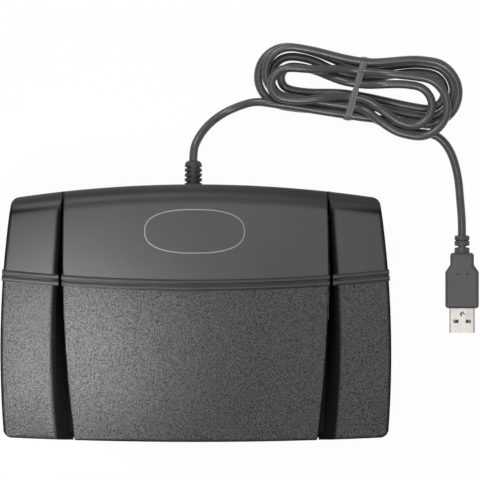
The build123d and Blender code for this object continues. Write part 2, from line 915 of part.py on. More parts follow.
def make_chip():
    """Controller chip on the board, with a row of legs along each long side."""
    leg_pitch = chip_size / (chip_legs + 1)
    leg_height = chip_height / 3
    with BuildPart() as chip:
        with BuildSketch(Plane.XY.offset(board_top + leg_height / 2)):
            with Locations((chip_x, board_y)):
                Rectangle(chip_size, chip_size)
        extrude(amount=chip_height)
        chamfer(chip.edges().group_by(Axis.Z)[-1], leg_height / 2)
        for side in (-1, 1):
            with BuildSketch(Plane.XY.offset(board_top)):
                with Locations((chip_x + side * (chip_size + chip_leg_reach) / 2, board_y)):
                    with GridLocations(0, leg_pitch, 1, chip_legs):
                        Rectangle(chip_leg_reach, chip_leg_width)
            extrude(amount=leg_height)
    return chip.part


def make_header():
    """Cord's connector on the board."""
    board_back = board_y + board_depth / 2
    with BuildPart() as header:
        with BuildSketch(Plane.XY.offset(board_top)):
            with Locations((header_x, board_back - header_depth / 2)):
                Rectangle(header_width, header_depth)
        extrude(amount=header_height)
        chamfer(header.edges().group_by(Axis.Z)[-1].filter_by(Axis.X), header_height / 6)
    return header.part


def make_strain_relief():
    """Rubber sleeve in the back wall: flange, neck and collar, then a rounded sleeve grooved on both sides."""
    wall_outside = block_back_y - pan_inset
    wall_inside = wall_outside - pan_wall
    end_y = block_back_y + relief_length
    # Distance along the sleeve from its inner end, with the radius there
    back = Plane(origin=(relief_x, 0, relief_z), x_dir=(0, 1, 0), z_dir=(1, 0, 0))
    with BuildPart() as relief:
        with BuildSketch(back):
            with BuildLine():
                Polyline(
                    (wall_inside - relief_flange_length, 0),
                    (wall_inside - relief_flange_length, relief_radius),
                    (wall_inside - plate_clearance, relief_radius),
                    (wall_inside - plate_clearance, relief_neck_radius - plate_clearance),
                    (wall_outside + plate_clearance, relief_neck_radius - plate_clearance),
                    (wall_outside + plate_clearance, relief_collar_radius),
                    (block_back_y + relief_collar_length, relief_collar_radius),
                    (block_back_y + relief_collar_length, relief_radius),
                    (end_y, relief_radius),
                    (end_y, 0),
                    close=True,
                )
            make_face()
        revolve(axis=Axis((relief_x, 0, relief_z), (0, 1, 0)))
        fillet(relief.edges().group_by(Axis.Y)[-1], relief_end_round)
        for row in range(relief_grooves):
            groove_y = block_back_y + relief_collar_length + relief_groove_width / 2 + row * relief_pitch
            for side in (-1, 1):
                middle = (relief_x + side * (relief_spine / 2 + relief_radius), groove_y + relief_groove_width / 2)
                with BuildSketch(Plane.XY.offset(relief_z - relief_radius)):
                    with Locations(middle):
                        Rectangle(2 * relief_radius, relief_groove_width)
                extrude(amount=2 * relief_radius, mode=Mode.SUBTRACT)
    return relief.part


def cord_radii(points):
    """Bend radius at each corner of a route, as large as its two runs allow."""
    radii = []
    for before, corner, after in zip(points, points[1:], points[2:]):
        first = Vector(*corner) - Vector(*before)
        second = Vector(*after) - Vector(*corner)
        half_turn = radians(first.get_angle(second)) / 2
        radii.append(0.45 * min(first.length, second.length) / tan(half_turn))
    return radii


def make_cord(name, points):
    """Round tube along straight runs joined by tangent arcs; prints its radii, length and volume."""
    radii = cord_radii(points)
    with BuildPart() as cord:
        with BuildLine() as route:
            FilletPolyline(*points, radius=radii)
        path = route.wires()[0]
        with BuildSketch(Plane(origin=path @ 0, z_dir=path % 0)):
            Circle(cord_radius)
        sweep(path=path)
    expected = pi * cord_radius ** 2 * path.length
    print(name, "radii", [round(radius, 1) for radius in radii])
    print(name, "length", round(path.length, 1), "volume over section times length",
          round(cord.part.volume / expected, 4))
    return cord.part


hank_plane = Plane(
    origin=(hank_x, hank_y, 0),
    x_dir=(cos(radians(hank_angle)), sin(radians(hank_angle)), 0),
    z_dir=(0, 0, 1),
)
low_layer = cord_radius + hank_lift
high_layer = low_layer + layer_step


def hank_spot(along, across, height):
    """Point of the hank, along and across its length from the tie."""
    return hank_plane.from_local_coords((along, across, height))


def hank_levels(run):
    """How far a run of the hank lies from its middle at the left end, at the tie and at the right end."""
    ring = min(run, 2 * loop_runs - run)
    side = -1 if run % 2 == 0 else 1
    return (
        side * (left_level - ring * loop_step) + left_middle,
        side * (waist_level - ring * waist_step),
        side * (right_level - ring * loop_step) + right_middle,
    )


def drift(start, end, heading):
    """Two tangent arcs that shift a run sideways from start to end, or one line where nothing shifts."""
    middle = (start + end) / 2
    if (end - start).get_angle(heading) < straight_angle:
        Line(start, end)
    else:
        first = TangentArc(start, middle, tangent=heading)
        TangentArc(middle, end, tangent=first % 1)


def make_hank():
    """The hank's loops as one unbroken tube: it spirals in on the upper layer and out on the lower one."""
    along = hank_plane.x_dir
    last = 2 * loop_runs
    with BuildPart() as hank:
        with BuildLine() as turns:
            for run in range(last + 1):
                left, waist, right = hank_levels(run)
                first_height = high_layer if run <= loop_runs else low_layer
                second_height = high_layer if run < loop_runs else low_layer
                if run % 2 == 0:
                    if run == 0:
                        Line(hank_spot(-hank_start_run, waist, first_height), hank_spot(0, waist, first_height))
                    else:
                        drift(hank_spot(-left_reach, left, first_height), hank_spot(0, waist, first_height), along)
                    reach = hank_end_reach if run == last else right_reach
                    drift(hank_spot(0, waist, first_height), hank_spot(reach, right, second_height), along)
                    if run == last:
                        Line(hank_spot(reach, right, second_height),
                             hank_spot(reach + hank_end_run, right, second_height))
                    else:
                        TangentArc(hank_spot(right_reach, right, second_height),
                                   hank_spot(right_reach, hank_levels(run + 1)[2], second_height), tangent=along)
                else:
                    drift(hank_spot(right_reach, right, first_height), hank_spot(0, waist, first_height), -along)
                    drift(hank_spot(0, waist, first_height), hank_spot(-left_reach, left, second_height), -along)
                    TangentArc(hank_spot(-left_reach, left, second_height),
                               hank_spot(-left_reach, hank_levels(run + 1)[0], second_height), tangent=-along)
        path = turns.wires()[0]
        with BuildSketch(Plane(origin=hank_spot(-hank_start_run, hank_levels(0)[1], high_layer), z_dir=along)):
            Circle(cord_radius)
        sweep(path=path)
    steps = int(path.length / cord_radius)
    spots = [path @ (step / steps) for step in range(steps + 1)]
    apart = 4
    least = min(
        (first - second).length
        for place, first in enumerate(spots)
        for second in spots[place + apart:]
    )
    print("hank length", round(path.length, 1), "least gap to itself", round(least - 2 * cord_radius, 2))
    print("hank volume over section times length",
          round(hank.part.volume / (pi * cord_radius ** 2 * path.length), 4))
    return hank.part


def make_tie():
    """Flat tie round the hank's waist."""
    half_height = layer_step / 2 + cord_radius + tie_margin
    half_width = waist_level + cord_radius + tie_margin - waist_step / 2
    middle = hank_plane.from_local_coords((0, -waist_step / 2, low_layer + layer_step / 2))
    turned = Plane(
        origin=middle,
        x_dir=(-sin(radians(hank_angle)), cos(radians(hank_angle)), 0),
        z_dir=hank_plane.x_dir,
    )
    with BuildPart() as tie:
        with BuildSketch(turned.offset(-tie_width / 2)):
            RectangleRounded(2 * (half_width + tie_thickness), 2 * (half_height + tie_thickness),
                             cord_radius + tie_thickness)
            RectangleRounded(2 * half_width, 2 * half_height, cord_radius, mode=Mode.SUBTRACT)
        extrude(amount=tie_width)
    return tie.part


def make_plug_sleeve():
    """Plug's own strain relief, a tapered sleeve with two ring grooves."""
    end = plug_sleeve_start_y
    with BuildPart() as sleeve:
        with BuildSketch(Plane(origin=(plug_x, 0, plug_half_height), x_dir=(0, 1, 0), z_dir=(1, 0, 0))):
            with BuildLine():
                Polyline((plug_neck_y, 0), (plug_neck_y, sleeve_radius), (end, 0.9 * sleeve_radius), (end, 0),
                         close=True)
            make_face()
            for share in sleeve_groove_shares:
                groove_y = plug_neck_y + share * (end - plug_neck_y)
                with Locations((groove_y, sleeve_radius)):
                    Rectangle(sleeve_groove_width, 2 * sleeve_groove_depth, mode=Mode.SUBTRACT)
        revolve(axis=Axis((plug_x, 0, plug_half_height), (0, 1, 0)))
    return sleeve.part


def make_plug_overmould():
    """Moulded grip of the plug: a narrow neck that flares into a rounded body."""
    with BuildPart() as grip:
        with BuildSketch():
            with BuildLine():
                Polyline(
                    (plug_x + plug_neck_half_width, plug_neck_y),
                    (plug_x + plug_neck_half_width, plug_flare_y),
                    (plug_x + plug_half_width, plug_body_y),
                    (plug_x + plug_half_width, plug_face_y),
                    (plug_x - plug_half_width, plug_face_y),
                    (plug_x - plug_half_width, plug_body_y),
                    (plug_x - plug_neck_half_width, plug_flare_y),
                    (plug_x - plug_neck_half_width, plug_neck_y),
                    close=True,
                )
            make_face()
        extrude(amount=2 * plug_half_height)
        fillet(grip.edges().filter_by(Axis.Z), plug_round)
        fillet(grip.edges().group_by(Axis.Z)[-1], plug_round)
        fillet(grip.edges().group_by(Axis.Z)[0], plug_round)
    return grip.part


def make_plug_shell():
    """Folded steel shell of the plug, open at its end, with two latch holes above and below."""
    face = Plane(origin=(plug_x, plug_face_y, plug_half_height), x_dir=(1, 0, 0), z_dir=(0, -1, 0))
    latch_y = plug_face_y - latch_setback
    with BuildPart() as shell:
        with BuildSketch(face):
            RectangleRounded(shell_width, shell_height, shell_round)
            RectangleRounded(shell_width - 2 * shell_wall, shell_height - 2 * shell_wall,
                             shell_round - shell_wall, mode=Mode.SUBTRACT)
        extrude(amount=shell_length)
        with BuildSketch():
            with Locations((plug_x - latch_x, latch_y), (plug_x + latch_x, latch_y)):
                Rectangle(latch_width, latch_length)
        extrude(amount=2 * plug_half_height, mode=Mode.SUBTRACT)
    return shell.part


tongue_bottom = plug_half_height - shell_height / 2 + shell_wall


def make_plug_tongue():
    """Plastic tongue that fills the shell's lower half and carries the contacts."""
    with BuildPart() as tongue:
        with BuildSketch(Plane.XY.offset(tongue_bottom)):
            with Locations((plug_x, plug_face_y - tongue_length / 2)):
                Rectangle(tongue_width, tongue_length)
        extrude(amount=tongue_height)
        chamfer(tongue.edges().group_by(Axis.Y)[0].group_by(Axis.Z)[-1], tongue_height / 4)
    return tongue.part


def make_plug_contacts():
    """Four flat contacts on the tongue: the outer two are longer."""
    with BuildPart() as contacts:
        with BuildSketch(Plane.XY.offset(tongue_bottom + tongue_height)):
            for x, length in zip(contact_xs, contact_lengths):
                with Locations((plug_x + x, plug_face_y - length / 2)):
                    Rectangle(contact_width, length)
        extrude(amount=contact_thickness)
    return contacts.part


# Routes of the cord's free stretches, as they lie on the floor and on the hank
board_back_y = board_y + board_depth / 2
inlet_start_y = block_back_y - pan_inset - pan_wall - relief_flange_length
inlet_route = [
    (relief_x, inlet_start_y, relief_z),
    (relief_x, inlet_start_y - inlet_run, relief_z),
    *[(relief_x + share * (header_x - relief_x), board_back_y + y, relief_z) for share, y in inlet_steps],
    (header_x, board_back_y + inlet_run, relief_z),
    (header_x, board_back_y, relief_z),
]
relief_end_y = block_back_y + relief_length
lead_level = hank_levels(0)[1]
lead_route = [
    (relief_x, relief_end_y, relief_z),
    (relief_x, relief_end_y + lead_first_run, relief_z),
    *[(relief_x + x, relief_end_y + y, z) for x, y, z in lead_steps],
    *[tuple(hank_spot(along, lead_level + shift, high_layer)) for along, shift in lead_approach],
    tuple(hank_spot(-hank_start_run, lead_level, high_layer)),
]
tail_start = hank_end_reach + hank_end_run
tail_level = hank_levels(0)[2]
tail_route = [
    tuple(hank_spot(tail_start, tail_level, low_layer)),
    tuple(hank_spot(tail_start + tail_first_run, tail_level, low_layer)),
    *[(plug_x - x, plug_sleeve_start_y + y, z) for x, y, z in tail_steps],
    (plug_x, plug_sleeve_start_y + tail_last_run, plug_half_height),
    (plug_x, plug_sleeve_start_y, plug_half_height),
]


def save(name, part):
    """Label a piece and write it to its own file."""
    part.label = name
    export_step(part, f"parts/{name}.step")


save("pedal_left", make_pedal(-1))
save("pedal_centre", make_pedal(0))
save("pedal_right", make_pedal(1))
save("base_pan", make_base_pan())
save("ballast_plate", make_ballast_plate())
save("base_screws", screws_at(plate_screw_places, foot_height, pan_floor + boss_height / 2 - rest_gap, -1))
save("rubber_feet", make_feet())
save("hinge_rod", make_rod())
save("rod_clips", make_rod_clips())
save("spring_left", make_springs([-side_line_x]))
save("springs_centre", make_springs([-centre_spring_x, centre_spring_x]))
save("spring_right", make_springs([side_line_x]))
save("stop_bumpers", make_bumpers())
save("circuit_board", make_board())
save("board_screws", screws_at(board_screw_places, board_top, board_thickness + board_stand - rest_gap, 1))
for place, x in zip(("left", "centre", "right"), switch_xs):
    save(f"switch_body_{place}", make_switch_body(x))
    save(f"switch_pins_{place}", make_switch_pins(x))
    save(f"switch_plunger_{place}", make_plunger(x))
    save(f"switch_lever_{place}", make_lever(x))
save("controller_chip", make_chip())
save("cord_header", make_header())
save("cord_strain_relief", make_strain_relief())
save("cord_inlet", make_cord("cord_inlet", inlet_route))
save("cord_lead", make_cord("cord_lead", lead_route))
save("cord_hank", make_hank())
save("cord_tail", make_cord("cord_tail", tail_route))
save("cord_tie", make_tie())
save("plug_sleeve", make_plug_sleeve())
save("plug_overmould", make_plug_overmould())
save("plug_shell", make_plug_shell())
save("plug_tongue", make_plug_tongue())
save("plug_contacts", make_plug_contacts())
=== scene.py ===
# %% [markdown]
# # A USB foot pedal switch, dressed on a fixed CAD frame
# The solids come from a CAD model and stay where they are. This lesson gives each of them the finish of the
# real thing, and adds what is easier to shape here: the limp cord, its tie and sleeves, the springs, the screws
# and a thin oval ring.
# Everything is in metres, with +X along the row of pedals, +Y towards the cord and +Z up.

# %% Load the frame
import json
import math
import bpy
import numpy as np
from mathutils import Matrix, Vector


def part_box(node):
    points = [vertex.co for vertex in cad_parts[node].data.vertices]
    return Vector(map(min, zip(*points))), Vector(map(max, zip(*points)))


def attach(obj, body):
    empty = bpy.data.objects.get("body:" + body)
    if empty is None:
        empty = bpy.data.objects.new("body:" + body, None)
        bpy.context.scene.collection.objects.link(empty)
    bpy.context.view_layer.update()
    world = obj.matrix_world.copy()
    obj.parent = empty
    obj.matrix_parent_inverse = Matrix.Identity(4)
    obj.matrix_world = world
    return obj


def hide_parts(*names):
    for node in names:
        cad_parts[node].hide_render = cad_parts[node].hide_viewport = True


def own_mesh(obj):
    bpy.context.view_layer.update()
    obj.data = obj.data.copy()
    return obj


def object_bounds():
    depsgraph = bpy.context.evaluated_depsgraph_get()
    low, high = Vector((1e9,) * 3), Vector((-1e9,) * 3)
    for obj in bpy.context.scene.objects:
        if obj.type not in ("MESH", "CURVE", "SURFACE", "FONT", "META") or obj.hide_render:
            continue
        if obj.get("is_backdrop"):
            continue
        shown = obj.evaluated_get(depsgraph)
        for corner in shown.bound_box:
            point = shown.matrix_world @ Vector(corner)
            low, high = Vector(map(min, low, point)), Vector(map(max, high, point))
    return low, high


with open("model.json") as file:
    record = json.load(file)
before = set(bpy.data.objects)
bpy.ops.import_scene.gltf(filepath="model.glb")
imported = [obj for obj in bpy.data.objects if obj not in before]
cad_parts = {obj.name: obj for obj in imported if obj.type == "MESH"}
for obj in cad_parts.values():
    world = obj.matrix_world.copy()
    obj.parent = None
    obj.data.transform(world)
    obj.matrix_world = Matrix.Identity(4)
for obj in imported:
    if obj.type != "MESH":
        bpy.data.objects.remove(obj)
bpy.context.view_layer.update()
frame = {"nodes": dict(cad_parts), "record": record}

nodes = frame["nodes"]
MM = 0.001

# %% [markdown]
# ## Camera
# The photograph looks straight down on the pedals through a long lens, so the block's left and right edges show
# the same narrow rim. A long lens far away keeps the tall back edge from growing against the low front edge.
# The field is set from the width that the picture covers at the height of the slope.

# %% Camera
scene = bpy.context.scene
VIEW_CENTRE = (0.0210, 0.0350)
VIEW_HEIGHT = 2.6
VIEW_WIDTH = 0.2279
SLOPE_MIDDLE_HEIGHT = 0.026

camera_data = bpy.data.cameras.new("photo_camera")
camera_data.sensor_fit = "HORIZONTAL"
camera_data.sensor_width = 36.0
camera_data.lens = 36.0 * (VIEW_HEIGHT - SLOPE_MIDDLE_HEIGHT) / VIEW_WIDTH
camera_data.clip_end = 20.0
camera = bpy.data.objects.new("photo_camera", camera_data)
camera.location = (VIEW_CENTRE[0], VIEW_CENTRE[1], VIEW_HEIGHT)
scene.collection.objects.link(camera)
scene.camera = camera
print("lens", round(camera_data.lens, 1), "mm")

# %% [markdown]
# ## Turning a grid of points into a piece
# Every new shape below is a surface with two parameters. Its points are worked out as one numpy array with a row
# for each value of the first parameter. The helper only joins neighbours into faces: it can wrap either way
# round, and it can close the first and the last row with a middle point, as the poles of a turned part need.

# %% Grid helper
def grid_piece(name, grid, wrap_rows=False, wrap_columns=False, close_ends=False):
    """Mesh of a grid of points: face (i, j) joins points (i, j), (i+1, j), (i+1, j+1) and (i, j+1)."""
    rows, columns = grid.shape[:2]
    i = np.arange(rows if wrap_rows else rows - 1)
    j = np.arange(columns if wrap_columns else columns - 1)
    i, j = (a.ravel() for a in np.meshgrid(i, j, indexing="ij"))
    k, m = (i + 1) % rows, (j + 1) % columns
    faces = np.stack([i * columns + j, k * columns + j, k * columns + m, i * columns + m], axis=1).tolist()
    points = grid.reshape(-1, 3)
    if close_ends:
        points = np.vstack([points, grid[0].mean(0), grid[-1].mean(0)])
        first, last = rows * columns, rows * columns + 1
        a = np.arange(columns)
        b = (a + 1) % columns
        bottom = np.stack([np.full(columns, first), a, b], axis=1)
        base = (rows - 1) * columns
        top = np.stack([np.full(columns, last), base + b, base + a], axis=1)
        faces += bottom.tolist() + top.tolist()
    mesh = bpy.data.meshes.new(name)
    mesh.from_pydata(points.tolist(), [], faces)
    mesh.polygons.foreach_set("use_smooth", np.ones(len(mesh.polygons), bool))
    mesh.update()
    piece = bpy.data.objects.new(name, mesh)
    scene.collection.objects.link(piece)
    print(name, len(mesh.vertices), "points,", len(mesh.polygons), "faces")
    return piece


# %% [markdown]
# ## The cord's path
# The real cord is one limp round PVC lead of 4 mm. It leaves the ribbed sleeve, swings to the right, is folded
# into a flat hank of five turns held by a tie, and ends in the plug. A cord that lies freely has no corners, so
# its centreline is one smooth spline. The hank has its own frame: u along its length, v across, both from the tie.

# %% Hank frame
HANK_CENTRE = (0.0767, 0.1078)
HANK_ANGLE = math.radians(-9.0)


def hank_point(u, v, z):
    """Point of the hank: X = Cx + u cos a - v sin a, Y = Cy + u sin a + v cos a, all given in millimetres."""
    c, s = math.cos(HANK_ANGLE), math.sin(HANK_ANGLE)
    return (HANK_CENTRE[0] + (u * c - v * s) * MM, HANK_CENTRE[1] + (u * s + v * c) * MM, z * MM)


# %% [markdown]
# The lead and the tail are listed point by point. Between two points of this kind of spline the cord runs half way
# along the line that joins them, so a few points with wide spaces give a long, slack curve.

# %% Lead and tail
lead_points = [
    (-0.0013, 0.0730, 0.0100),
    (-0.0013, 0.0780, 0.0100),
    (0.0006, 0.0830, 0.0088),
    (0.0040, 0.0882, 0.0064),
    (0.0086, 0.0927, 0.0042),
    (0.0142, 0.0964, 0.0027),
    (0.0209, 0.0993, 0.0039),
    (0.0284, 0.1014, 0.0063),
    hank_point(-38.5, -13.8, 7.2),
    hank_point(-28.5, -13.6, 7.2),
    hank_point(-18.0, -13.6, 7.2),
    hank_point(-8.0, -13.6, 7.0),
]
tail_points = [
    hank_point(33.5, -16.4, 2.65),
    (0.1142, 0.0856, 0.0025),
    (0.1188, 0.0822, 0.0024),
    (0.1222, 0.0768, 0.0022),
    (0.1244, 0.0703, 0.0021),
    (0.1258, 0.0630, 0.0021),
    (0.1265, 0.0540, 0.0026),
    (0.1273, 0.0445, 0.0040),
    (0.1273, 0.0372, 0.0040),
]

# %% [markdown]
# A hand winds the hank in eleven runs to and fro. Each run has three levels across the hank, at its left end, at
# the tie and at its right end, and three heights. The first runs lie in the middle, the small loops ride on top
# of them, and the last runs lie flat on the table, so no two strands ever share a place.

# %% Runs of the hank
LOW, FLAT, MIDDLE, HIGH = 2.65, 2.1, 7.2, 11.7
run_levels = [
    (-13.6, -13.6, -12.3), (14.5, 12.8, 18.1), (-9.6, -9.5, -18.6), (4.9, 8.1, 9.5), (-10.6, -5.0, -14.0),
    (5.8, 1.9, 5.2), (-5.9, -3.4, -4.7), (10.4, 5.4, 12.3), (-10.0, -7.4, -8.7), (14.7, 10.0, 16.4),
    (-14.1, -11.6, -16.6),
]
run_heights = [
    (MIDDLE, 6.75, 6.75), (MIDDLE, MIDDLE, MIDDLE), (MIDDLE, MIDDLE, HIGH), (HIGH, MIDDLE, HIGH),
    (HIGH, MIDDLE, HIGH), (FLAT, MIDDLE, HIGH), (FLAT, LOW, FLAT), (FLAT, LOW, FLAT), (LOW, LOW, 3.3),
    (LOW, LOW, 3.3), (LOW, LOW, LOW),
]
turn_reach = [33.6, 32.2, 30.4, 32.2, 27.4, 30.6, 33.7, 31.2, 33.8, 33.1, 30.0]
print("runs:", len(run_levels), "turns:", len(turn_reach) - 1)

# %% [markdown]
# Between the tie and its ends a run eases from one level to the next. Most runs ease alike; the ones that climb
# over others do so sooner or later. The shares say how much of the way is done at each place along the run.

# %% Easing of the runs
LEFT_PLACES = (-13.0, -6.0)
RIGHT_PLACES = (0.20, 0.42, 0.66, 0.85)
left_easing = {4: (0.30, 0.97), 7: (0.30, 0.50), 9: (0.40, 0.50)}
right_easing = {2: (0.04, 0.47, 0.86, 1.00), 4: (0.03, 0.31, 0.68, 0.95)}
right_climb = {2: (0.72, 1.00, 1.00, 1.00)}


def between(first, second, share):
    """Value at a share of the way: first + (second - first) * share."""
    return first + (second - first) * share


def run_points(run):
    """Points of one run from left to right: u, v and z in millimetres."""
    (left, waist, right), (low_left, low_waist, low_right) = run_levels[run], run_heights[run]
    points = []
    if run > 0:
        reach = turn_reach[run - 1] if run % 2 == 0 else turn_reach[run]
        across, climb = left_easing.get(run, (0.35, 0.50))
        points += [(8.5 - reach, between(left, waist, 0.04), low_left),
                   (LEFT_PLACES[0], between(waist, left, across), between(low_waist, low_left, climb)),
                   (LEFT_PLACES[1], waist, low_waist)]
    reach = turn_reach[run] if run % 2 == 0 else turn_reach[run - 1]
    points.append((1.0, waist, low_waist))
    for place, across, climb in zip(RIGHT_PLACES, right_easing.get(run, (0.08, 0.42, 0.80, 1.00)),
                                    right_climb.get(run, (0.40, 0.98, 1.00, 1.00))):
        points.append((reach * place, between(waist, right, across), between(low_waist, low_right, climb)))
    return points


# %% [markdown]
# A half turn gets four points on a ring a little wider than the turn, so that the spline touches the turn itself
# between them. The small loop at the left end sags a little, because nothing but the tie holds it.

# %% Half turns
def half_turn(end, reach, first, second, heights, lean):
    """Points at 22.5, 67.5, 112.5 and 157.5 degrees on a ring of radius r / cos 22.5, leaning by (du, dv) sin t."""
    angle = np.radians([22.5, 67.5, 112.5, 157.5])
    radius = abs(second - first) / 2 / math.cos(math.radians(22.5))
    heading = 1 if second > first else -1
    u = end * (reach + (radius + lean[0]) * np.sin(angle))
    v = (first + second) / 2 - heading * radius * np.cos(angle) + lean[1] * np.sin(angle)
    z = between(heights[0], heights[1], np.array([0.2, 0.4, 0.6, 0.8]))
    return list(zip(u, v, z))


hank_points = []
for run in range(len(run_levels)):
    end = -1 if run % 2 else 1
    side = 0 if run % 2 else 2
    points = run_points(run)
    hank_points += points[::-1] if run % 2 else points
    if run + 1 < len(run_levels):
        hank_points += half_turn(end, turn_reach[run], run_levels[run][side], run_levels[run + 1][side],
                                 (run_heights[run][side], run_heights[run + 1][side]),
                                 (0.8, -1.6) if run == 3 else (0.0, 0.0))
cord_points = lead_points + [hank_point(*point) for point in hank_points] + tail_points
print("cord control points:", len(cord_points))

# %% [markdown]
# The cord itself is a curve object with a round bevel. One NURBS spline of third order goes through the whole
# list. Its bevel is one metre deep and each point's own radius scales it down to the cord's, so the object's box
# stays true. The order and the end points are set after the points are there, because Blender caps the order at
# the number of points that it has at that moment.

# %% Cord
CORD_DIAMETER = 0.004


def round_cord(name, points, diameter):
    """Curve object along one smooth NURBS spline, with a round section of the given diameter."""
    curve = bpy.data.curves.new(name, "CURVE")
    curve.dimensions = "3D"
    curve.bevel_depth = 1.0
    curve.bevel_resolution = 5
    curve.resolution_u = 5
    curve.use_fill_caps = True
    spline = curve.splines.new("NURBS")
    spline.points.add(len(points) - 1)
    flat = np.hstack([np.array(points), np.ones((len(points), 1))]).ravel()
    spline.points.foreach_set("co", flat)
    spline.points.foreach_set("radius", np.full(len(points), diameter / 2))
    spline.order_u = 3
    spline.use_endpoint_u = True
    piece = bpy.data.objects.new(name, curve)
    scene.collection.objects.link(piece)
    return piece


cord = round_cord("cord", cord_points, CORD_DIAMETER)
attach(cord, "base")
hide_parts("cord_lead", "cord_hank", "cord_tail")

# %% [markdown]
# ## The tie
# A flat plastic ribbon with a wire in its middle holds the hank. It is a closed loop that hugs the two layers of
# strands. Along the loop the section is a rounded box, written as a superellipse; across the ribbon a small bump
# in the middle shows the wire. It stands a little askew, and fingers have pinched it narrower near its middle.

# %% Tie
TIE_HALF_WIDTH, TIE_HALF_HEIGHT = 15.4, 4.5
TIE_MIDDLE = (-0.4, 4.9)
TIE_RIBBON = 3.4


def tie_surface(around, across):
    """Superellipse of power 5 round the strands, in millimetres; a bell curve lifts the wire by 0.25 mm.

    u = 0.128 v, plus the place across the ribbon times w, where w narrows by a third in a bell curve round v = 1.
    """
    angle = around * 2 * np.pi
    c, s = np.cos(angle), np.sin(angle)
    reach = (np.abs(c) ** 5 + np.abs(s) ** 5) ** (-1 / 5)
    wire = 0.25 * np.exp(-((across - 0.5) / 0.14) ** 2)
    v = TIE_MIDDLE[0] + (TIE_HALF_WIDTH * reach + wire) * c
    z = TIE_MIDDLE[1] + (TIE_HALF_HEIGHT * reach + wire * 0.8) * s
    width = TIE_RIBBON * (1 - 0.34 * np.exp(-((v - 1.0) / 2.2) ** 2))
    u = 0.128 * v + (across - 0.5) * width + 0.12 * np.sin(3 * angle)
    return np.stack(hank_point(u, v, z), axis=-1)


tie_around, tie_across = np.meshgrid(np.arange(160) / 160, np.linspace(0, 1, 13), indexing="ij")
tie = grid_piece("tie_ribbon", tie_surface(tie_around, tie_across), wrap_rows=True)
tie_wall = tie.modifiers.new("thickness", "SOLIDIFY")
tie_wall.thickness = 0.0003
tie_wall.offset = 0.0
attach(tie, "base")
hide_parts("cord_tie")

# %% [markdown]
# ## Ribbed sleeves
# Two soft sleeves keep the cord from kinking: one in the back wall, one on the plug. Both are turned shapes with
# a spine left whole along the top and the bottom, because the mould opens there, and notches cut in from the
# sides. The radius is the profile's, less a bell curve for each notch that fades out towards the spine.

# %% Sleeve surface
SLEEVE_STEP, SLEEVE_SIDES = 0.11, 72
RING_DEPTH, RING_WIDTH, SPINE_WIDTH = 0.6, 0.22, 0.42


def sleeve_piece(name, axis, profile, notches, notch_depth, notch_width, rings=()):
    """Turned surface about a line along Y: r(y, t) = R(y) - d N(y) S(t) - 0.6 L(y), lengths in millimetres.

    N and L sum exp(-((y - y0) / w)^4) over notches and thin rings; S = 1 - exp(-(cos t / 0.42)^4) spares the spine.
    """
    y, radius = [profile[0][0]], [profile[0][1]]
    for (y0, r0), (y1, r1) in zip(profile[:-1], profile[1:]):
        steps = max(1, math.ceil(math.hypot(y1 - y0, r1 - r0) / SLEEVE_STEP))
        share = np.arange(1, steps + 1) / steps
        y.extend(between(y0, y1, share))
        radius.extend(between(r0, r1, share))
    y, radius = np.array(y)[:, None], np.array(radius)[:, None]
    turn = np.arange(SLEEVE_SIDES) / SLEEVE_SIDES * 2 * np.pi
    notch = sum(np.exp(-((y - place) / notch_width) ** 4) for place in notches)
    line = sum((np.exp(-((y - place) / RING_WIDTH) ** 4) for place in rings), np.zeros_like(y))
    spared = 1 - np.exp(-(np.cos(turn) / SPINE_WIDTH) ** 4)
    r = np.maximum(radius - notch_depth * notch * spared - RING_DEPTH * line, 0.2)
    grid = np.stack([axis[0] + r * np.cos(turn), np.broadcast_to(y, r.shape), axis[1] + r * np.sin(turn)], axis=-1)
    return grid_piece(name, grid * MM, wrap_columns=True, close_ends=True)


# %% [markdown]
# The sleeve in the back wall is a grommet: a flange inside the wall, a neck in its hole, a collar outside and then
# the ribbed body with its rounded end. The profile lists places along the cord and the radius at each of them.
# Four pairs of notches at even spaces leave the ribs between them.

# %% Sleeve in the back wall
relief_profile = [(54.2, 0.4), (54.2, 4.05), (55.68, 4.05), (55.70, 2.95), (57.88, 2.95), (57.90, 4.6), (60.6, 4.6),
                  (60.8, 4.15), (70.8, 4.1), (71.6, 3.9), (72.3, 3.4), (72.8, 2.7), (73.0, 1.9)]
relief = sleeve_piece("ribbed_relief", (-1.3, 10.0), relief_profile, (62.6, 64.9, 67.2, 69.5), 0.95, 0.36)
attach(relief, "base")
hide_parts("cord_strain_relief")
print("back wall sleeve from Y", relief_profile[0][0], "to", relief_profile[-1][0], "mm")

# %% [markdown]
# The sleeve on the plug is shorter and rounder at its end. A thin ring runs all round it, and one deeper pair of
# notches lets it bend just behind the grip.

# %% Sleeve on the plug
plug_profile = [(28.9, 0.4), (28.9, 3.6), (36.4, 3.6), (36.9, 3.4), (37.2, 3.0), (37.2, 1.9)]
plug_sleeve = sleeve_piece("ribbed_plug_sleeve", (127.3, 4.0), plug_profile, (31.8,), 1.9, 0.42, (34.8,))
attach(plug_sleeve, "base")
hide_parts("plug_sleeve")
print("plug sleeve from Y", plug_profile[0][0], "to", plug_profile[-1][0], "mm")

# %% [markdown]
# ## Return springs
# Four springs of steel wire push the pedals up again. Each is a helix with a round section, as high as the space
# that its solid takes. A pressed pedal shortens it; here each spring is held by the base.

# %% Springs
SPRING_WIRE, SPRING_RADIUS, SPRING_TURNS, SPRING_TRAVEL = 0.0009, 0.0046, 7, 0.0030
STEPS_A_TURN, WIRE_SIDES = 24, 8


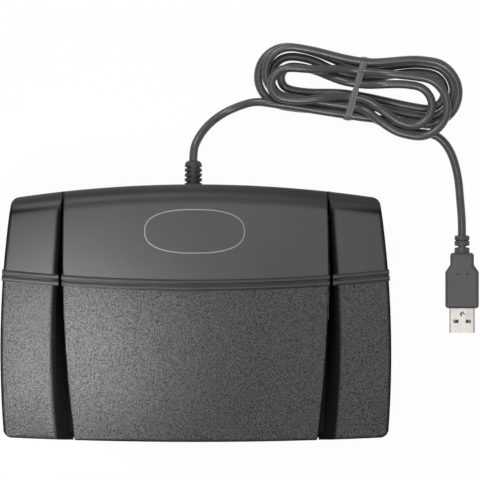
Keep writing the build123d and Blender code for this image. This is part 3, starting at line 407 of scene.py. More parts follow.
def spring_surface(centre, low, high):
    """Tube on a helix: ((R + r cos q) cos a, (R + r cos q) sin a, low + s (high - low) + r sin q), a = 2 pi n s."""
    along, round_wire = np.meshgrid(np.linspace(0, 1, STEPS_A_TURN * SPRING_TURNS + 1),
                                    np.arange(WIRE_SIDES) / WIRE_SIDES, indexing="ij")
    angle, q = along * 2 * np.pi * SPRING_TURNS, round_wire * 2 * np.pi
    reach = SPRING_RADIUS + SPRING_WIRE / 2 * np.cos(q)
    return np.stack([centre[0] + reach * np.cos(angle), centre[1] + reach * np.sin(angle),
                     low + along * (high - low) + SPRING_WIRE / 2 * np.sin(q)], axis=-1)


springs = []
for node, side, joint in (("spring_left", 0, "pedal_left_press"), ("springs_centre", -1, "pedal_centre_press"),
                          ("springs_centre", 1, "pedal_centre_press"), ("spring_right", 0, "pedal_right_press")):
    box_low, box_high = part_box(node)
    half_space = (box_high[0] - box_low[0]) / 2 - SPRING_RADIUS - SPRING_WIRE / 2
    centre = ((box_low[0] + box_high[0]) / 2 + side * half_space, (box_low[1] + box_high[1]) / 2)
    low, high = box_low[2] + SPRING_WIRE / 2, box_high[2] - SPRING_WIRE / 2
    spring = grid_piece(f"return_spring_{len(springs) + 1}", spring_surface(centre, low, high),
                        wrap_columns=True, close_ends=True)
    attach(spring, "base")
    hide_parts(node)
    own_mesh(spring)
    springs.append(spring)
print("springs:", len(springs), "height", round(1000 * (high - low), 2), "mm")

# %% [markdown]
# ## The oval ring
# A thin pale oval line frames a bare field on the middle pedal. It is a low bead of half a millimetre on the
# sloping top, and it follows a superellipse, an ellipse with fuller corners. So the surface is a small flattened
# circle carried round that line.

# %% Oval ring
SLOPE = math.radians(11.5)
RING_CENTRE = (-0.0005, 0.0391)
RING_HALF_SIZE = (0.0236, 0.0105)
RING_RADIUS, RING_FLATTENING = 0.00026, 0.4
RING_POWER = 2.5
CREST_Y, CREST_Z = 0.0534, 0.0300


def slope_height(y):
    """Height of the sloping top: the crest's circle of 8 mm touches a plane that falls by 11.5 degrees."""
    return CREST_Z + 0.008 / math.cos(SLOPE) + (y - CREST_Y) * math.tan(SLOPE)


def signed_power(value, power):
    """Power of the size of a value that keeps its sign."""
    return np.sign(value) * np.abs(value) ** power


def ring_surface(along, round_section):
    """Superellipse (a C, b S) with C = |cos t|^(2/n), S = |sin t|^(2/n), plus a circle of its side and the normal.

    Its outward side is (b C^(n-1), a S^(n-1)), made one long.
    """
    t, q = along * 2 * np.pi, round_section * 2 * np.pi
    a, b = RING_HALF_SIZE
    across, up = signed_power(np.cos(t), 2 / RING_POWER), signed_power(np.sin(t), 2 / RING_POWER)
    side = np.stack([b * signed_power(across, RING_POWER - 1), a * signed_power(up, RING_POWER - 1)], axis=-1)
    side /= np.linalg.norm(side, axis=-1, keepdims=True)
    x = RING_CENTRE[0] + a * across + RING_RADIUS * np.cos(q) * side[..., 0]
    y = b * up + RING_RADIUS * np.cos(q) * side[..., 1]
    lift = RING_FLATTENING * RING_RADIUS * np.sin(q)
    base = slope_height(RING_CENTRE[1])
    return np.stack([x, RING_CENTRE[1] + y * math.cos(SLOPE) - lift * math.sin(SLOPE),
                     base + y * math.sin(SLOPE) + lift * math.cos(SLOPE)], axis=-1)


ring_along, ring_round = np.meshgrid(np.arange(240) / 240, np.arange(12) / 12, indexing="ij")
ring = grid_piece("oval_ring", ring_surface(ring_along, ring_round), wrap_rows=True, wrap_columns=True)
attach(ring, "pedal_centre")

# %% [markdown]
# ## Stops between the pedals
# Where two pedals meet, the base reaches out under their seam and closes it against dust, so no light comes
# through at the front and the back. Each stop is a flat tab with rounded sides, low enough for a pressed pedal.

# %% Stops
FRONT_STOP = (0.0600, -0.0573, 0.0023), (0.0036, 0.0024, 0.0003)
BACK_STOP = (0.0626, 0.0559, 0.0023), (0.0022, 0.0024, 0.0003)
STOP_POWER = 0.3


def stop_surface(upward, around, middle, half_size):
    """Superellipsoid: x = a C(f) C(t), y = b C(f) S(t), z = c S(f) with C = sign(cos) |cos|^0.3 and S alike."""
    f, t = (upward - 0.5) * np.pi, around * 2 * np.pi
    level, rise = signed_power(np.cos(f), STOP_POWER), signed_power(np.sin(f), STOP_POWER)
    x, y = level * signed_power(np.cos(t), STOP_POWER), level * signed_power(np.sin(t), STOP_POWER)
    return np.stack([x, y, rise], axis=-1) * half_size + middle


stop_rows, stop_columns = np.meshgrid(np.linspace(0.02, 0.98, 15), np.arange(24) / 24, indexing="ij")
seam_stops = []
for side in (-1, 1):
    for label, (middle, half_size) in (("front", FRONT_STOP), ("back", BACK_STOP)):
        grid = stop_surface(stop_rows, stop_columns, (side * middle[0], middle[1], middle[2]), half_size)
        stop = grid_piece(f"seam_stop_{label}_{'left' if side < 0 else 'right'}", grid, wrap_columns=True,
                          close_ends=True)
        stop.data.flip_normals()
        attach(stop, "base")
        seam_stops.append(stop)

# %% [markdown]
# ## Screws
# The screws under the base have a low dome with a cross recess, and they face down. The head and shank are one
# turned surface. The recess is not cut but pressed: near the axis the dome's height is lowered along two crossed
# bars, and the bars fade out towards the rim, as a driver's point leaves them.

# %% Screws
SCREW_HEAD, SCREW_SHANK, SHANK_LENGTH = 0.0025, 0.0012, 0.0029
SCREW_RISE = 0.0013
HEAD_SHARE = 0.7
BAR_WIDTH, BAR_DEPTH, BAR_REACH = 0.00034, 0.0009, 0.0016
ISLAND_SPACE = 0.012


def screw_surface(share, turn, seat):
    """Dome of height h(1 - r^4) with two crossed bars pressed in, then a collar and a plain round shank.

    The first rows of the grid run out over the head, the last ones up the shank.
    """
    angle = turn * 2 * np.pi
    on_head = share <= HEAD_SHARE
    head = np.clip(share / HEAD_SHARE, 0, 1)
    stem = np.clip((share - HEAD_SHARE) / (1 - HEAD_SHARE), 0, 1)
    r = np.where(on_head, SCREW_HEAD * head, SCREW_SHANK)
    x, y = r * np.cos(angle), r * np.sin(angle)
    bars = np.maximum(np.exp(-(x / BAR_WIDTH) ** 4), np.exp(-(y / BAR_WIDTH) ** 4))
    press = BAR_DEPTH * bars * np.clip(1 - (r / BAR_REACH) ** 2, 0, 1)
    height = np.where(on_head, SCREW_RISE * (1 - head ** 4) - press, -SHANK_LENGTH * stem)
    return np.stack([x, y, seat - height], axis=-1)


def screw_set(name, places, seat):
    """One mesh with a screw at each place: the grids are shifted and joined."""
    shares = np.concatenate([np.linspace(0.02, HEAD_SHARE, 26), [0.701, 0.72, 1.0]])
    rows, columns = np.meshgrid(shares, np.arange(48) / 48, indexing="ij")
    grid = screw_surface(rows, columns, seat)
    parts = []
    for number, place in enumerate(places):
        piece = grid_piece(f"{name}_{number}", grid + (*place, 0.0), wrap_columns=True, close_ends=True)
        piece.data.flip_normals()
        parts.append(piece)
    with bpy.context.temp_override(active_object=parts[0], object=parts[0], selected_objects=parts,
                                   selected_editable_objects=parts):
        bpy.ops.object.join()
    parts[0].name = name
    return parts[0]


def node_islands(name, count):
    """Middles, seen from above, of the loose pieces of a CAD node, found by rounding its points into clusters."""
    mesh = nodes[name].data
    points = np.empty(len(mesh.vertices) * 3)
    mesh.vertices.foreach_get("co", points)
    points = points.reshape(-1, 3)[:, :2]
    cells = np.unique(np.round(points / ISLAND_SPACE).astype(int), axis=0) * ISLAND_SPACE
    middles = []
    for cell in cells:
        near = points[np.linalg.norm(points - cell, axis=1) < ISLAND_SPACE]
        middle = (near.min(0) + near.max(0)) / 2
        if all(np.linalg.norm(middle - other) > ISLAND_SPACE / 2 for other in middles):
            middles.append(middle)
    print(name, "stands at", [tuple(np.round(m, 4)) for m in middles])
    return middles[:count]


base_screws = screw_set("base_screw_set", node_islands("base_screws", 4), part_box("base_screws")[0].z + SCREW_RISE)
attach(base_screws, "base")
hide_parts("base_screws")

# %% [markdown]
# ## Shared effects
# Three effects turn up in many of the finishes, so each is a node group that is built once. The first is the
# pebbled grain that a mould is etched with. The second is the uneven tone that handling, dust and flow in the
# mould leave. The third is the fine scratching of drawn or rolled metal, which runs one way.

# %% Group helper
def new_group(name, inputs, outputs):
    """Empty shader group with its inputs (name, type, default) and outputs (name, type)."""
    group = bpy.data.node_groups.new(name, "ShaderNodeTree")
    for label, kind, default in inputs:
        socket = group.interface.new_socket(label, in_out="INPUT", socket_type=kind)
        socket.default_value = default
    for label, kind in outputs:
        group.interface.new_socket(label, in_out="OUTPUT", socket_type=kind)
    return group, group.nodes.new("NodeGroupInput"), group.nodes.new("NodeGroupOutput")


def add_node(tree, kind, values=None, **settings):
    """New node with its settings and its unlinked input values."""
    node = tree.nodes.new(kind)
    for key, value in settings.items():
        setattr(node, key, value)
    for key, value in (values or {}).items():
        node.inputs[key].default_value = value
    return node


def feed(tree, node, links):
    """Links other nodes' outputs to some inputs of a node."""
    for key, source in links.items():
        tree.links.new(source, node.inputs[key])


def linked(tree, kind, links, values=None, **settings):
    """New node with some of its inputs linked to other outputs."""
    node = add_node(tree, kind, values, **settings)
    feed(tree, node, links)
    return node


def maths(tree, operation, first, second, clamp=False):
    """Math node of two inputs, each a number or another node's output."""
    node = add_node(tree, "ShaderNodeMath", operation=operation, use_clamp=clamp)
    for place, value in enumerate((first, second)):
        if isinstance(value, (int, float)):
            node.inputs[place].default_value = value
        else:
            tree.links.new(value, node.inputs[place])
    return node.outputs[0]


# %% [markdown]
# Moulded grain: rounded cells of a Voronoi pattern, broken up by noise so that no two pebbles match. The height
# is a little over 1 on the pebbles and less between them, and the material's own Bump node gives it its depth.

# %% Moulded grain
FLOAT, COLOR = "NodeSocketFloat", "NodeSocketColor"
grain_group, grain_in, grain_out = new_group(
    "moulded_grain",
    [("Cells per metre", FLOAT, 1100.0), ("Break-up", FLOAT, 0.5)],
    [("Height", FLOAT)],
)
grain_place = add_node(grain_group, "ShaderNodeTexCoord").outputs["Object"]
grain_scale = grain_in.outputs["Cells per metre"]
grain_cells = linked(grain_group, "ShaderNodeTexVoronoi", {"Vector": grain_place, "Scale": grain_scale},
                     {"Randomness": 1.0, "Smoothness": 0.35}, feature="SMOOTH_F1")
grain_noise = linked(grain_group, "ShaderNodeTexNoise",
                     {"Vector": grain_place, "Scale": maths(grain_group, "MULTIPLY", grain_scale, 0.7)},
                     {"Detail": 4.0, "Roughness": 0.6})
grain_bumps = maths(grain_group, "SUBTRACT", 1.0, grain_cells.outputs["Distance"], clamp=True)
grain_broken = maths(grain_group, "MULTIPLY", grain_noise.outputs["Fac"], grain_in.outputs["Break-up"])
grain_group.links.new(maths(grain_group, "ADD", grain_bumps, grain_broken), grain_out.inputs["Height"])
print("group", grain_group.name, "with", len(grain_group.nodes), "nodes")

# %% [markdown]
# Handling: a cloudy noise of a few centimetres moves the colour a little between a deep and a worn tone, and a
# fine speck noise adds lint. The same cloud moves the roughness, because worn places are shinier.

# %% Handling
handling_group, handling_in, handling_out = new_group(
    "handling",
    [("Deep tone", COLOR, (0.02, 0.02, 0.02, 1)), ("Worn tone", COLOR, (0.03, 0.03, 0.03, 1)),
     ("Cloud size", FLOAT, 35.0), ("Smoothest", FLOAT, 0.4), ("Roughest", FLOAT, 0.5), ("Specks", FLOAT, 0.05)],
    [("Color", COLOR), ("Roughness", FLOAT)],
)
handling_place = add_node(handling_group, "ShaderNodeTexCoord").outputs["Object"]
cloud = linked(handling_group, "ShaderNodeTexNoise",
               {"Vector": handling_place, "Scale": handling_in.outputs["Cloud size"]},
               {"Detail": 5.0, "Roughness": 0.55})
specks = linked(handling_group, "ShaderNodeTexNoise", {"Vector": handling_place}, {"Scale": 1500.0, "Detail": 1.0})
cloud_mask = linked(handling_group, "ShaderNodeMapRange", {"Value": cloud.outputs["Fac"]},
                    {"From Min": 0.3, "From Max": 0.7}).outputs["Result"]
speck_mask = linked(handling_group, "ShaderNodeMapRange", {"Value": specks.outputs["Fac"]},
                    {"From Min": 0.66, "From Max": 0.72}).outputs["Result"]
tone_mix = linked(handling_group, "ShaderNodeMix", {
    0: cloud_mask, 6: handling_in.outputs["Deep tone"], 7: handling_in.outputs["Worn tone"]}, data_type="RGBA")
speck_mix = linked(handling_group, "ShaderNodeMix", {
    0: maths(handling_group, "MULTIPLY", speck_mask, handling_in.outputs["Specks"]), 6: tone_mix.outputs[2]},
    {7: (0.35, 0.35, 0.34, 1)}, data_type="RGBA")
rough_span = linked(handling_group, "ShaderNodeMapRange", {
    "Value": cloud_mask, "To Min": handling_in.outputs["Roughest"], "To Max": handling_in.outputs["Smoothest"]})
feed(handling_group, handling_out, {"Color": speck_mix.outputs[2], "Roughness": rough_span.outputs["Result"]})
print("group", handling_group.name, "with", len(handling_group.nodes), "nodes")

# %% [markdown]
# Drawn metal: noise that is stretched along one direction looks like fine parallel scratches. The stretch is
# given as a scale for each axis, small along the scratches and large across them.

# %% Drawn metal
drawn_group, drawn_in, drawn_out = new_group(
    "drawn_metal",
    [("Stretch", "NodeSocketVector", (60.0, 2500.0, 2500.0)), ("Smoothest", FLOAT, 0.22), ("Roughest", FLOAT, 0.4)],
    [("Height", FLOAT), ("Roughness", FLOAT)],
)
drawn_place = add_node(drawn_group, "ShaderNodeTexCoord")
drawn_map = linked(drawn_group, "ShaderNodeVectorMath", {
    0: drawn_place.outputs["Object"], 1: drawn_in.outputs["Stretch"]}, operation="MULTIPLY")
drawn_noise = linked(drawn_group, "ShaderNodeTexNoise", {"Vector": drawn_map.outputs[0]},
                     {"Scale": 1.0, "Detail": 3.0})
drawn_span = linked(drawn_group, "ShaderNodeMapRange", {
    "Value": drawn_noise.outputs["Fac"], "To Min": drawn_in.outputs["Smoothest"],
    "To Max": drawn_in.outputs["Roughest"]}, {"From Min": 0.3, "From Max": 0.7})
feed(drawn_group, drawn_out, {"Height": drawn_noise.outputs["Fac"], "Roughness": drawn_span.outputs["Result"]})
print("group", drawn_group.name, "with", len(drawn_group.nodes), "nodes")

# %% [markdown]
# ## Plastics and rubbers
# Moulded parts differ in tone, gloss and grain, but they are built alike: the handling group gives colour and
# roughness, the grain group gives the height for a bump. One helper places both in a material of its own.

# %% Moulded finish
finishes = {}


def new_material(name):
    """Material with its Principled BSDF, ready for more nodes, kept under its name among the finishes."""
    material = bpy.data.materials.new(name)
    material.use_nodes = True
    finishes[name] = material
    return material, material.node_tree, material.node_tree.nodes["Principled BSDF"]


def place_group(tree, group, values):
    """Group node with its own values."""
    node = add_node(tree, "ShaderNodeGroup", node_tree=group)
    for key, value in values.items():
        node.inputs[key].default_value = value
    return node


def moulded(name, deep, worn, roughness, grain, depth, specks=0.04, specular=0.5, cloud_size=35.0):
    """Moulded plastic or rubber: two close tones, a span of roughness and a pebbled bump of the given depth."""
    material, tree, shader = new_material(name)
    touched = place_group(tree, handling_group, {
        "Deep tone": (*deep, 1), "Worn tone": (*worn, 1), "Smoothest": roughness[0], "Roughest": roughness[1],
        "Specks": specks, "Cloud size": cloud_size})
    pebbles = place_group(tree, grain_group, {"Cells per metre": grain, "Break-up": 0.5})
    bump = linked(tree, "ShaderNodeBump", {"Height": pebbles.outputs["Height"]},
                  {"Strength": 1.0, "Distance": depth})
    feed(tree, shader, {"Base Color": touched.outputs["Color"], "Roughness": touched.outputs["Roughness"],
                        "Normal": bump.outputs["Normal"]})
    shader.inputs["Specular IOR Level"].default_value = specular
    material.diffuse_color = (*worn, 1)
    return material


# The pan is darker than the pedals' black plastic: its own black plus painted shade, so the seams between pedals
# read dark.
moulded("pan_plastic", (0.007, 0.007, 0.007), (0.011, 0.011, 0.011), (0.5, 0.62), 1500.0, 0.00003, specular=0.12)
moulded("foot_rubber", (0.012, 0.012, 0.012), (0.022, 0.022, 0.022), (0.7, 0.85), 2200.0, 0.00003, specks=0.2)
moulded("relief_rubber", (0.040, 0.040, 0.041), (0.056, 0.056, 0.057), (0.45, 0.6), 2600.0, 0.00001, specks=0.08)
moulded("switch_case", (0.014, 0.014, 0.016), (0.022, 0.022, 0.024), (0.4, 0.5), 3000.0, 0.00001)
moulded("switch_button", (0.42, 0.02, 0.015), (0.55, 0.035, 0.02), (0.22, 0.3), 3000.0, 0.000004, specks=0.0)
moulded("chip_epoxy", (0.014, 0.014, 0.015), (0.022, 0.022, 0.023), (0.5, 0.65), 4000.0, 0.000015)
moulded("header_nylon", (0.68, 0.64, 0.54), (0.78, 0.75, 0.66), (0.3, 0.4), 2500.0, 0.00001, specks=0.0)
moulded("tie_film", (0.10, 0.10, 0.103), (0.16, 0.16, 0.163), (0.3, 0.42), 2500.0, 0.00001)
moulded("tongue_plastic", (0.03, 0.03, 0.032), (0.045, 0.045, 0.047), (0.35, 0.45), 3000.0, 0.00001, specks=0.0)
moulded("plug_grip", (0.064, 0.065, 0.066), (0.082, 0.083, 0.085), (0.42, 0.55), 2400.0, 0.000015, specks=0.06)
moulded("cord_jacket", (0.058, 0.058, 0.060), (0.084, 0.084, 0.087), (0.2, 0.28), 900.0, 0.000006, specks=0.05,
        cloud_size=90.0)
moulded("ring_line", (0.24, 0.24, 0.235), (0.32, 0.32, 0.313), (0.35, 0.45), 2500.0, 0.00001, specks=0.0)
print("moulded finishes:", len(finishes))

# %% [markdown]
# ## The pedals' plastic
# The pedals are black ABS with two finishes from one mould. Behind the grip beads the surface is a satin with
# hardly any grain; in front of them, where the toes work, it is etched with a coarse pebble that holds more
# light. Both meet along the beads' long arc, so the mask is the distance from that arc's far centre. The grain
# and the gloss stop at the rounded rims, where the surface falls below the slope: the upright walls are dull, and
# their colour is painted near black as painted shade, because they face away from the lamps. Behind the crest the
# back falls away as well, but it has the same finish and colour as the top, without the painted shade.

# %% Pedal plastic
BEAD_ARC_CENTRE_Y = 0.8770
BEAD_ARC_RADIUS = 0.8655


def object_axes(tree):
    """X, Y and Z of the object's own coordinates."""
    place = add_node(tree, "ShaderNodeTexCoord")
    return linked(tree, "ShaderNodeSeparateXYZ", {"Vector": place.outputs["Object"]}).outputs


def plan_distance(tree, axes, middle):
    """Distance from a point (x, y), seen from above."""
    plan = linked(tree, "ShaderNodeCombineXYZ", {"X": axes["X"], "Y": axes["Y"]})
    return linked(tree, "ShaderNodeVectorMath", {0: plan.outputs[0]}, {1: (*middle, 0.0)},
                  operation="DISTANCE").outputs["Value"]


pedal_plastic, pedal_tree, pedal_shader = new_material("pedal_plastic")
pedal_axes = object_axes(pedal_tree)
tread = linked(pedal_tree, "ShaderNodeMapRange",
               {"Value": plan_distance(pedal_tree, pedal_axes, (0.0, BEAD_ARC_CENTRE_Y))},
               {"From Min": BEAD_ARC_RADIUS, "From Max": BEAD_ARC_RADIUS + 0.0006})
slope_here = maths(pedal_tree, "ADD", maths(pedal_tree, "MULTIPLY", pedal_axes["Y"], math.tan(SLOPE)),
                   slope_height(0.0))
below_slope = maths(pedal_tree, "SUBTRACT", slope_here, pedal_axes["Z"])
on_slope = linked(pedal_tree, "ShaderNodeMapRange", {"Value": below_slope},
                  {"From Min": 0.0005, "From Max": 0.0001})
on_crest = linked(pedal_tree, "ShaderNodeMapRange", {"Value": pedal_axes["Y"]},
                  {"From Min": 0.0480, "From Max": 0.0510})
on_top = maths(pedal_tree, "MAXIMUM", on_slope.outputs["Result"], on_crest.outputs["Result"])
tread_mask = maths(pedal_tree, "MULTIPLY", tread.outputs["Result"], on_top)
print("pedal mask nodes:", len(pedal_tree.nodes))

# %% [markdown]
# The masks now choose between the two finishes. Each pebble's top is shinier than what lies between the pebbles,
# and its colour is painted paler as a painted highlight, so the grain sparkles under a low lamp. The shine is a
# clear coat that only the top has: the walls keep a dull base without any mirror of the white floor, and that base
# is painted near black as painted shade.

# %% Pedal colour and bump
smooth_touch = place_group(pedal_tree, handling_group, {
    "Deep tone": (0.030, 0.030, 0.031, 1), "Worn tone": (0.037, 0.037, 0.038, 1), "Smoothest": 0.36,
    "Roughest": 0.44, "Specks": 0.03, "Cloud size": 28.0})
tread_touch = place_group(pedal_tree, handling_group, {
    "Deep tone": (0.014, 0.014, 0.014, 1), "Worn tone": (0.020, 0.020, 0.021, 1), "Smoothest": 0.46,
    "Roughest": 0.55, "Specks": 0.05, "Cloud size": 22.0})
pebbles = place_group(pedal_tree, grain_group, {"Cells per metre": 1700.0, "Break-up": 0.9})
satin = place_group(pedal_tree, grain_group, {"Cells per metre": 2600.0, "Break-up": 0.8})
pebble_tops = linked(pedal_tree, "ShaderNodeMapRange", {"Value": pebbles.outputs["Height"]},
                     {"From Min": 0.68, "From Max": 1.32}).outputs["Result"]
# The pebble tops' paler colour is a painted highlight, the glint that each top catches.
tread_painted_glint_tone = linked(pedal_tree, "ShaderNodeMix", {0: pebble_tops, 6: tread_touch.outputs["Color"]},
                    {7: (0.062, 0.062, 0.064, 1)}, data_type="RGBA")
pedal_tone = linked(pedal_tree, "ShaderNodeMix", {0: tread_mask, 6: smooth_touch.outputs["Color"],
                                                  7: tread_painted_glint_tone.outputs[2]}, data_type="RGBA")
pedal_gloss = linked(pedal_tree, "ShaderNodeMix", {0: tread_mask, 2: smooth_touch.outputs["Roughness"],
                                                   3: tread_touch.outputs["Roughness"]}, data_type="FLOAT")
pebble_height = maths(pedal_tree, "MULTIPLY", pebbles.outputs["Height"], tread_mask)
satin_height = maths(pedal_tree, "MULTIPLY", satin.outputs["Height"], 0.035)
pedal_height = maths(pedal_tree, "ADD", pebble_height, satin_height)
pedal_bump = linked(pedal_tree, "ShaderNodeBump", {"Height": pedal_height}, {"Strength": 1.0, "Distance": 0.00012})
# The walls' near-black colour is painted shade: they face away from the lamps.
wall_painted_shade_tone = linked(pedal_tree, "ShaderNodeMix", {0: on_top, 7: pedal_tone.outputs[2]},
                   {6: (0.009, 0.009, 0.009, 1)}, data_type="RGBA")
tread_shine = maths(pedal_tree, "ADD", maths(pedal_tree, "MULTIPLY", pebble_tops, 0.7), 0.35)
pedal_shine = linked(pedal_tree, "ShaderNodeMix", {0: tread_mask, 3: tread_shine}, {2: 0.52}, data_type="FLOAT")
feed(pedal_tree, pedal_shader, {
    "Base Color": wall_painted_shade_tone.outputs[2], "Roughness": pedal_gloss.outputs[0],
    "Normal": pedal_bump.outputs["Normal"], "Coat Normal": pedal_bump.outputs["Normal"],
    "Coat Weight": maths(pedal_tree, "MULTIPLY", pedal_shine.outputs[0], on_top)})
pedal_shader.inputs["Coat Roughness"].default_value = 0.40
pedal_shader.inputs["Specular IOR Level"].default_value = 0.0
pedal_plastic.diffuse_color = (0.03, 0.03, 0.03, 1)
print("pedal plastic nodes:", len(pedal_tree.nodes))

# %% [markdown]
# ## Metals
# Plated plate, spring wire, the blackened hinge rod and the plug's shell are all metal without paint. They differ
# in tone and in the direction of their drawing lines, which follow how each was made: along a rod, across a
# rolled sheet.

# %% Metal finishes
LINE_DEPTH = 0.000004


def metal(name, deep, worn, stretch, roughness):
    """Bare metal: two close tones from the handling group, roughness and bump from the drawing lines."""
    material, tree, shader = new_material(name)
    touched = place_group(tree, handling_group, {
        "Deep tone": (*deep, 1), "Worn tone": (*worn, 1), "Specks": 0.0, "Cloud size": 120.0})
    lines = place_group(tree, drawn_group, {
        "Stretch": stretch, "Smoothest": roughness[0], "Roughest": roughness[1]})
    bump = linked(tree, "ShaderNodeBump", {"Height": lines.outputs["Height"]},
                  {"Strength": 1.0, "Distance": LINE_DEPTH})
    feed(tree, shader, {"Base Color": touched.outputs["Color"], "Roughness": lines.outputs["Roughness"],
                        "Normal": bump.outputs["Normal"]})
    shader.inputs["Metallic"].default_value = 1.0
    material.diffuse_color = (*worn, 1)
    return material


metal("ballast_steel", (0.42, 0.43, 0.45), (0.56, 0.57, 0.58), (40.0, 1800.0, 1800.0), (0.3, 0.5))
metal("screw_steel", (0.45, 0.46, 0.47), (0.6, 0.6, 0.61), (900.0, 900.0, 900.0), (0.25, 0.4))
metal("rod_steel", (0.03, 0.03, 0.032), (0.05, 0.05, 0.052), (60.0, 2500.0, 2500.0), (0.35, 0.5))
metal("spring_steel", (0.3, 0.31, 0.33), (0.42, 0.43, 0.45), (900.0, 900.0, 900.0), (0.22, 0.36))
metal("switch_pin_metal", (0.6, 0.6, 0.58), (0.72, 0.72, 0.7), (900.0, 900.0, 900.0), (0.25, 0.4))
metal("plug_steel", (0.40, 0.388, 0.36), (0.47, 0.457, 0.43), (2500.0, 50.0, 2500.0), (0.3, 0.44))
# This gold is much darker than bare gold: painted shade for the contacts deep in the plug's holes.
metal("contact_gold", (0.22, 0.17, 0.09), (0.3, 0.24, 0.13), (2500.0, 50.0, 2500.0), (0.4, 0.55))
print("finishes so far:", len(finishes))

# %% [markdown]
# ## The circuit board
# Hardly anything shows of the board, but light falls on it through the gaps. Green solder resist lies over
# copper tracks, which show as slightly paler, slightly raised lines. Tracks run straight along X, so bands of a
# stretched noise stand in for them.

# %% Board
board_laminate, board_tree, board_shader = new_material("board_laminate")
board_place = add_node(board_tree, "ShaderNodeTexCoord")
board_stretch = linked(board_tree, "ShaderNodeVectorMath", {0: board_place.outputs["Object"]},
                       {1: (25.0, 700.0, 1.0)}, operation="MULTIPLY")
board_noise = linked(board_tree, "ShaderNodeTexNoise", {"Vector": board_stretch.outputs[0]}, {"Scale": 1.0})
board_track = linked(board_tree, "ShaderNodeMapRange", {"Value": board_noise.outputs["Fac"]},
                     {"From Min": 0.52, "From Max": 0.54})
board_tone = linked(board_tree, "ShaderNodeMix", {0: board_track.outputs["Result"]},
                    {6: (0.012, 0.12, 0.045, 1), 7: (0.03, 0.21, 0.08, 1)}, data_type="RGBA")
board_bump = linked(board_tree, "ShaderNodeBump", {"Height": board_track.outputs["Result"]},
                    {"Strength": 1.0, "Distance": 0.00003})
feed(board_tree, board_shader, {"Base Color": board_tone.outputs[2], "Normal": board_bump.outputs["Normal"]})
board_shader.inputs["Roughness"].default_value = 0.3
print("board nodes:", len(board_tree.nodes))

# %% [markdown]
# ## Small marks on the plug
# The grip has two pin marks where the mould held the wires, and the steel shell has one pressed dimple. They are
# too small to model, so each is a soft disc: the distance from its middle, seen from above, gives the mask. The pin
# marks are small hollows, painted near black as painted shade; the dimple is pressed in by the shell's bump.

# %% Marks
PIN_MARKS = (0.1249, 0.0188), (0.1297, 0.0188)
DIMPLE = (0.1274, -0.0004)
DIMPLE_IN_LINE_DEPTHS = 90.0


def round_mark(tree, middle, inner, outer):
    """Mask of a disc seen from above: 1 within the inner radius, falling to 0 at the outer one."""
    away = plan_distance(tree, object_axes(tree), middle)
    return linked(tree, "ShaderNodeMapRange", {"Value": away},
                  {"From Min": outer, "From Max": inner}).outputs["Result"]


grip_with_painted_pin_shade = finishes["plug_grip"].copy()
grip_with_painted_pin_shade.name = "plug_grip_painted_pin_shade"
mark_tree = grip_with_painted_pin_shade.node_tree
mark_shader = mark_tree.nodes["Principled BSDF"]
# The pin marks' near-black colour is painted shade inside the small hollows.
pin_hollow_shade_mask = maths(mark_tree, "MAXIMUM", *(round_mark(mark_tree, middle, 0.0004, 0.0007) for middle in PIN_MARKS))
plain_tone = mark_shader.inputs["Base Color"].links[0].from_socket
pin_shaded_grip_tone = linked(mark_tree, "ShaderNodeMix", {0: pin_hollow_shade_mask, 6: plain_tone}, {7: (0.003, 0.003, 0.003, 1)},
                     data_type="RGBA")
feed(mark_tree, mark_shader, {"Base Color": pin_shaded_grip_tone.outputs[2]})

shell_tree = finishes["plug_steel"].node_tree
shell_bump = shell_tree.nodes["Bump"]
dimple = maths(shell_tree, "MULTIPLY", round_mark(shell_tree, DIMPLE, 0.0003, 0.0011), DIMPLE_IN_LINE_DEPTHS)
feed(shell_tree, shell_bump, {
    "Height": maths(shell_tree, "SUBTRACT", shell_bump.inputs["Height"].links[0].from_socket, dimple)})
print("marks:", len(PIN_MARKS), "on the grip, one on the shell")

# %% [markdown]
# ## Dressing the solids
# Each CAD piece takes the finish that is named after its slot in the record, and the new pieces take theirs from a
# list. A CAD mesh is left as it is: only its material slots change.

# %% Give every piece its finish
def dress(piece, finish):
    """Gives a piece one finish only."""
    piece.data.materials.clear()
    piece.data.materials.append(finish)


for row in frame["record"]["subparts"]:
    dress(nodes[row["node"]], finishes[row["material_slot"]])
dress(nodes["plug_overmould"], grip_with_painted_pin_shade)
new_pieces = [(cord, "cord_jacket"), (tie, "tie_film"), (ring, "ring_line"), (base_screws, "screw_steel"),
              (relief, "relief_rubber"), (plug_sleeve, "plug_grip")]
new_pieces += [(spring, "spring_steel") for spring in springs] + [(stop, "pan_plastic") for stop in seam_stops]
for piece, finish in new_pieces:
    dress(piece, finishes[finish])
print("dressed", len(nodes), "CAD pieces and", len(new_pieces), "new ones")

# %% [markdown]
# ## The cord
# The cord is a fixed length of a limp lead, seen from end to end.

# %% [markdown]
# ## Stage
# The pedals lie on a plain pale floor. To the camera most of the floor's brightness is a plain white that no
# lamp can clip, and the rest is lit as usual, so the soft shadow stays. Reflections see the same white.

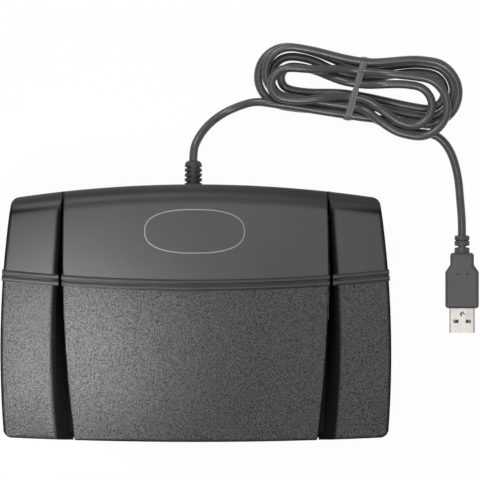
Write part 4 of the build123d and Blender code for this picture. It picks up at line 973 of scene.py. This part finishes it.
# %% Floor
FLOOR_REACH, FLOOR_WHITE_SHARE = 3.0, 0.96
floor_mesh = bpy.data.meshes.new("floor")
floor_mesh.from_pydata([(FLOOR_REACH * x, FLOOR_REACH * y, 0.0) for x, y in ((-1, -1), (1, -1), (1, 1), (-1, 1))],
                       [], [(0, 1, 2, 3)])
floor = bpy.data.objects.new("floor", floor_mesh)
scene.collection.objects.link(floor)
floor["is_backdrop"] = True
floor_paint, floor_tree, floor_shader = new_material("floor_paint")
floor_shader.inputs["Base Color"].default_value = (0.86, 0.86, 0.86, 1)
floor_shader.inputs["Roughness"].default_value = 0.9
floor_shader.inputs["Specular IOR Level"].default_value = 0.1
floor_white = add_node(floor_tree, "ShaderNodeEmission", {"Strength": 1.0})
floor_rays = add_node(floor_tree, "ShaderNodeLightPath")
floor_seen = maths(floor_tree, "MAXIMUM", floor_rays.outputs["Is Camera Ray"],
                   maths(floor_tree, "MAXIMUM", floor_rays.outputs["Is Glossy Ray"],
                         floor_rays.outputs["Is Transmission Ray"]))
floor_share = maths(floor_tree, "MULTIPLY", floor_seen, FLOOR_WHITE_SHARE)
floor_mix = linked(floor_tree, "ShaderNodeMixShader", {0: floor_share, 1: floor_shader.outputs[0],
                                                       2: floor_white.outputs[0]})
floor_tree.links.new(floor_mix.outputs[0], floor_tree.nodes["Material Output"].inputs["Surface"])
floor.data.materials.append(floor_paint)

# %% [markdown]
# ## Light
# A small gridded lamp stands close in front and to the left. Its beam is narrow, so the pebbled treads fade from
# light grey on the left to near black on the right. Dim panels are mirrored by what lies flat: one straight above
# by the plug's shell and the cord, two in front by the slope and the crest. A lamp behind lights the back.

# %% Lamps
def soft_lamp(name, place, target, size, power, beam=180.0):
    """Square area lamp at a place, turned to face the target, with a beam of some degrees."""
    data = bpy.data.lights.new(name, "AREA")
    data.shape = "SQUARE"
    data.size = size
    data.energy = power
    data.spread = math.radians(beam)
    lamp = bpy.data.objects.new(name, data)
    lamp.location = place
    lamp.visible_camera = False
    direction = np.array(target, float) - np.array(place, float)
    pitch = math.atan2(math.hypot(direction[0], direction[1]), -direction[2])
    lamp.rotation_euler = (pitch, 0.0, math.atan2(direction[1], direction[0]) - math.pi / 2)
    scene.collection.objects.link(lamp)
    return lamp


soft_lamp("front_left_lamp", (-0.115, -0.20, 0.32), (-0.064, -0.013, 0.02), 0.07, 0.040, 21.0)
soft_lamp("top_panel", (0.02, 0.09, 1.2), (0.02, 0.06, 0.02), 0.34, 1.35)
soft_lamp("front_panel", (0.06, -0.42, 1.1), (0.02, 0.0, 0.02), 0.7, 0.8)
soft_lamp("crest_panel", (0.01, -0.150, 0.52), (0.0, 0.046, 0.03), 0.16, 0.9)
soft_lamp("back_lamp", (-0.25, 0.75, 0.8), (0.0, 0.05, 0.02), 0.5, 5.0)
world = bpy.data.worlds.new("studio")
scene.world = world
world.use_nodes = True
world_paint = world.node_tree.nodes["Background"]
world_paint.inputs["Color"].default_value = (1.0, 1.0, 1.0, 1)
world_paint.inputs["Strength"].default_value = 0.26
scene.view_settings.view_transform = "Standard"

# %% [markdown]
# ## The visual box
# The dressed model must stay in the CAD model's box, so the box of what is shown is printed here.

# %% Sizes and finish
low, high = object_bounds()
print("visual box", [round(v, 4) for v in low], [round(v, 4) for v in high])
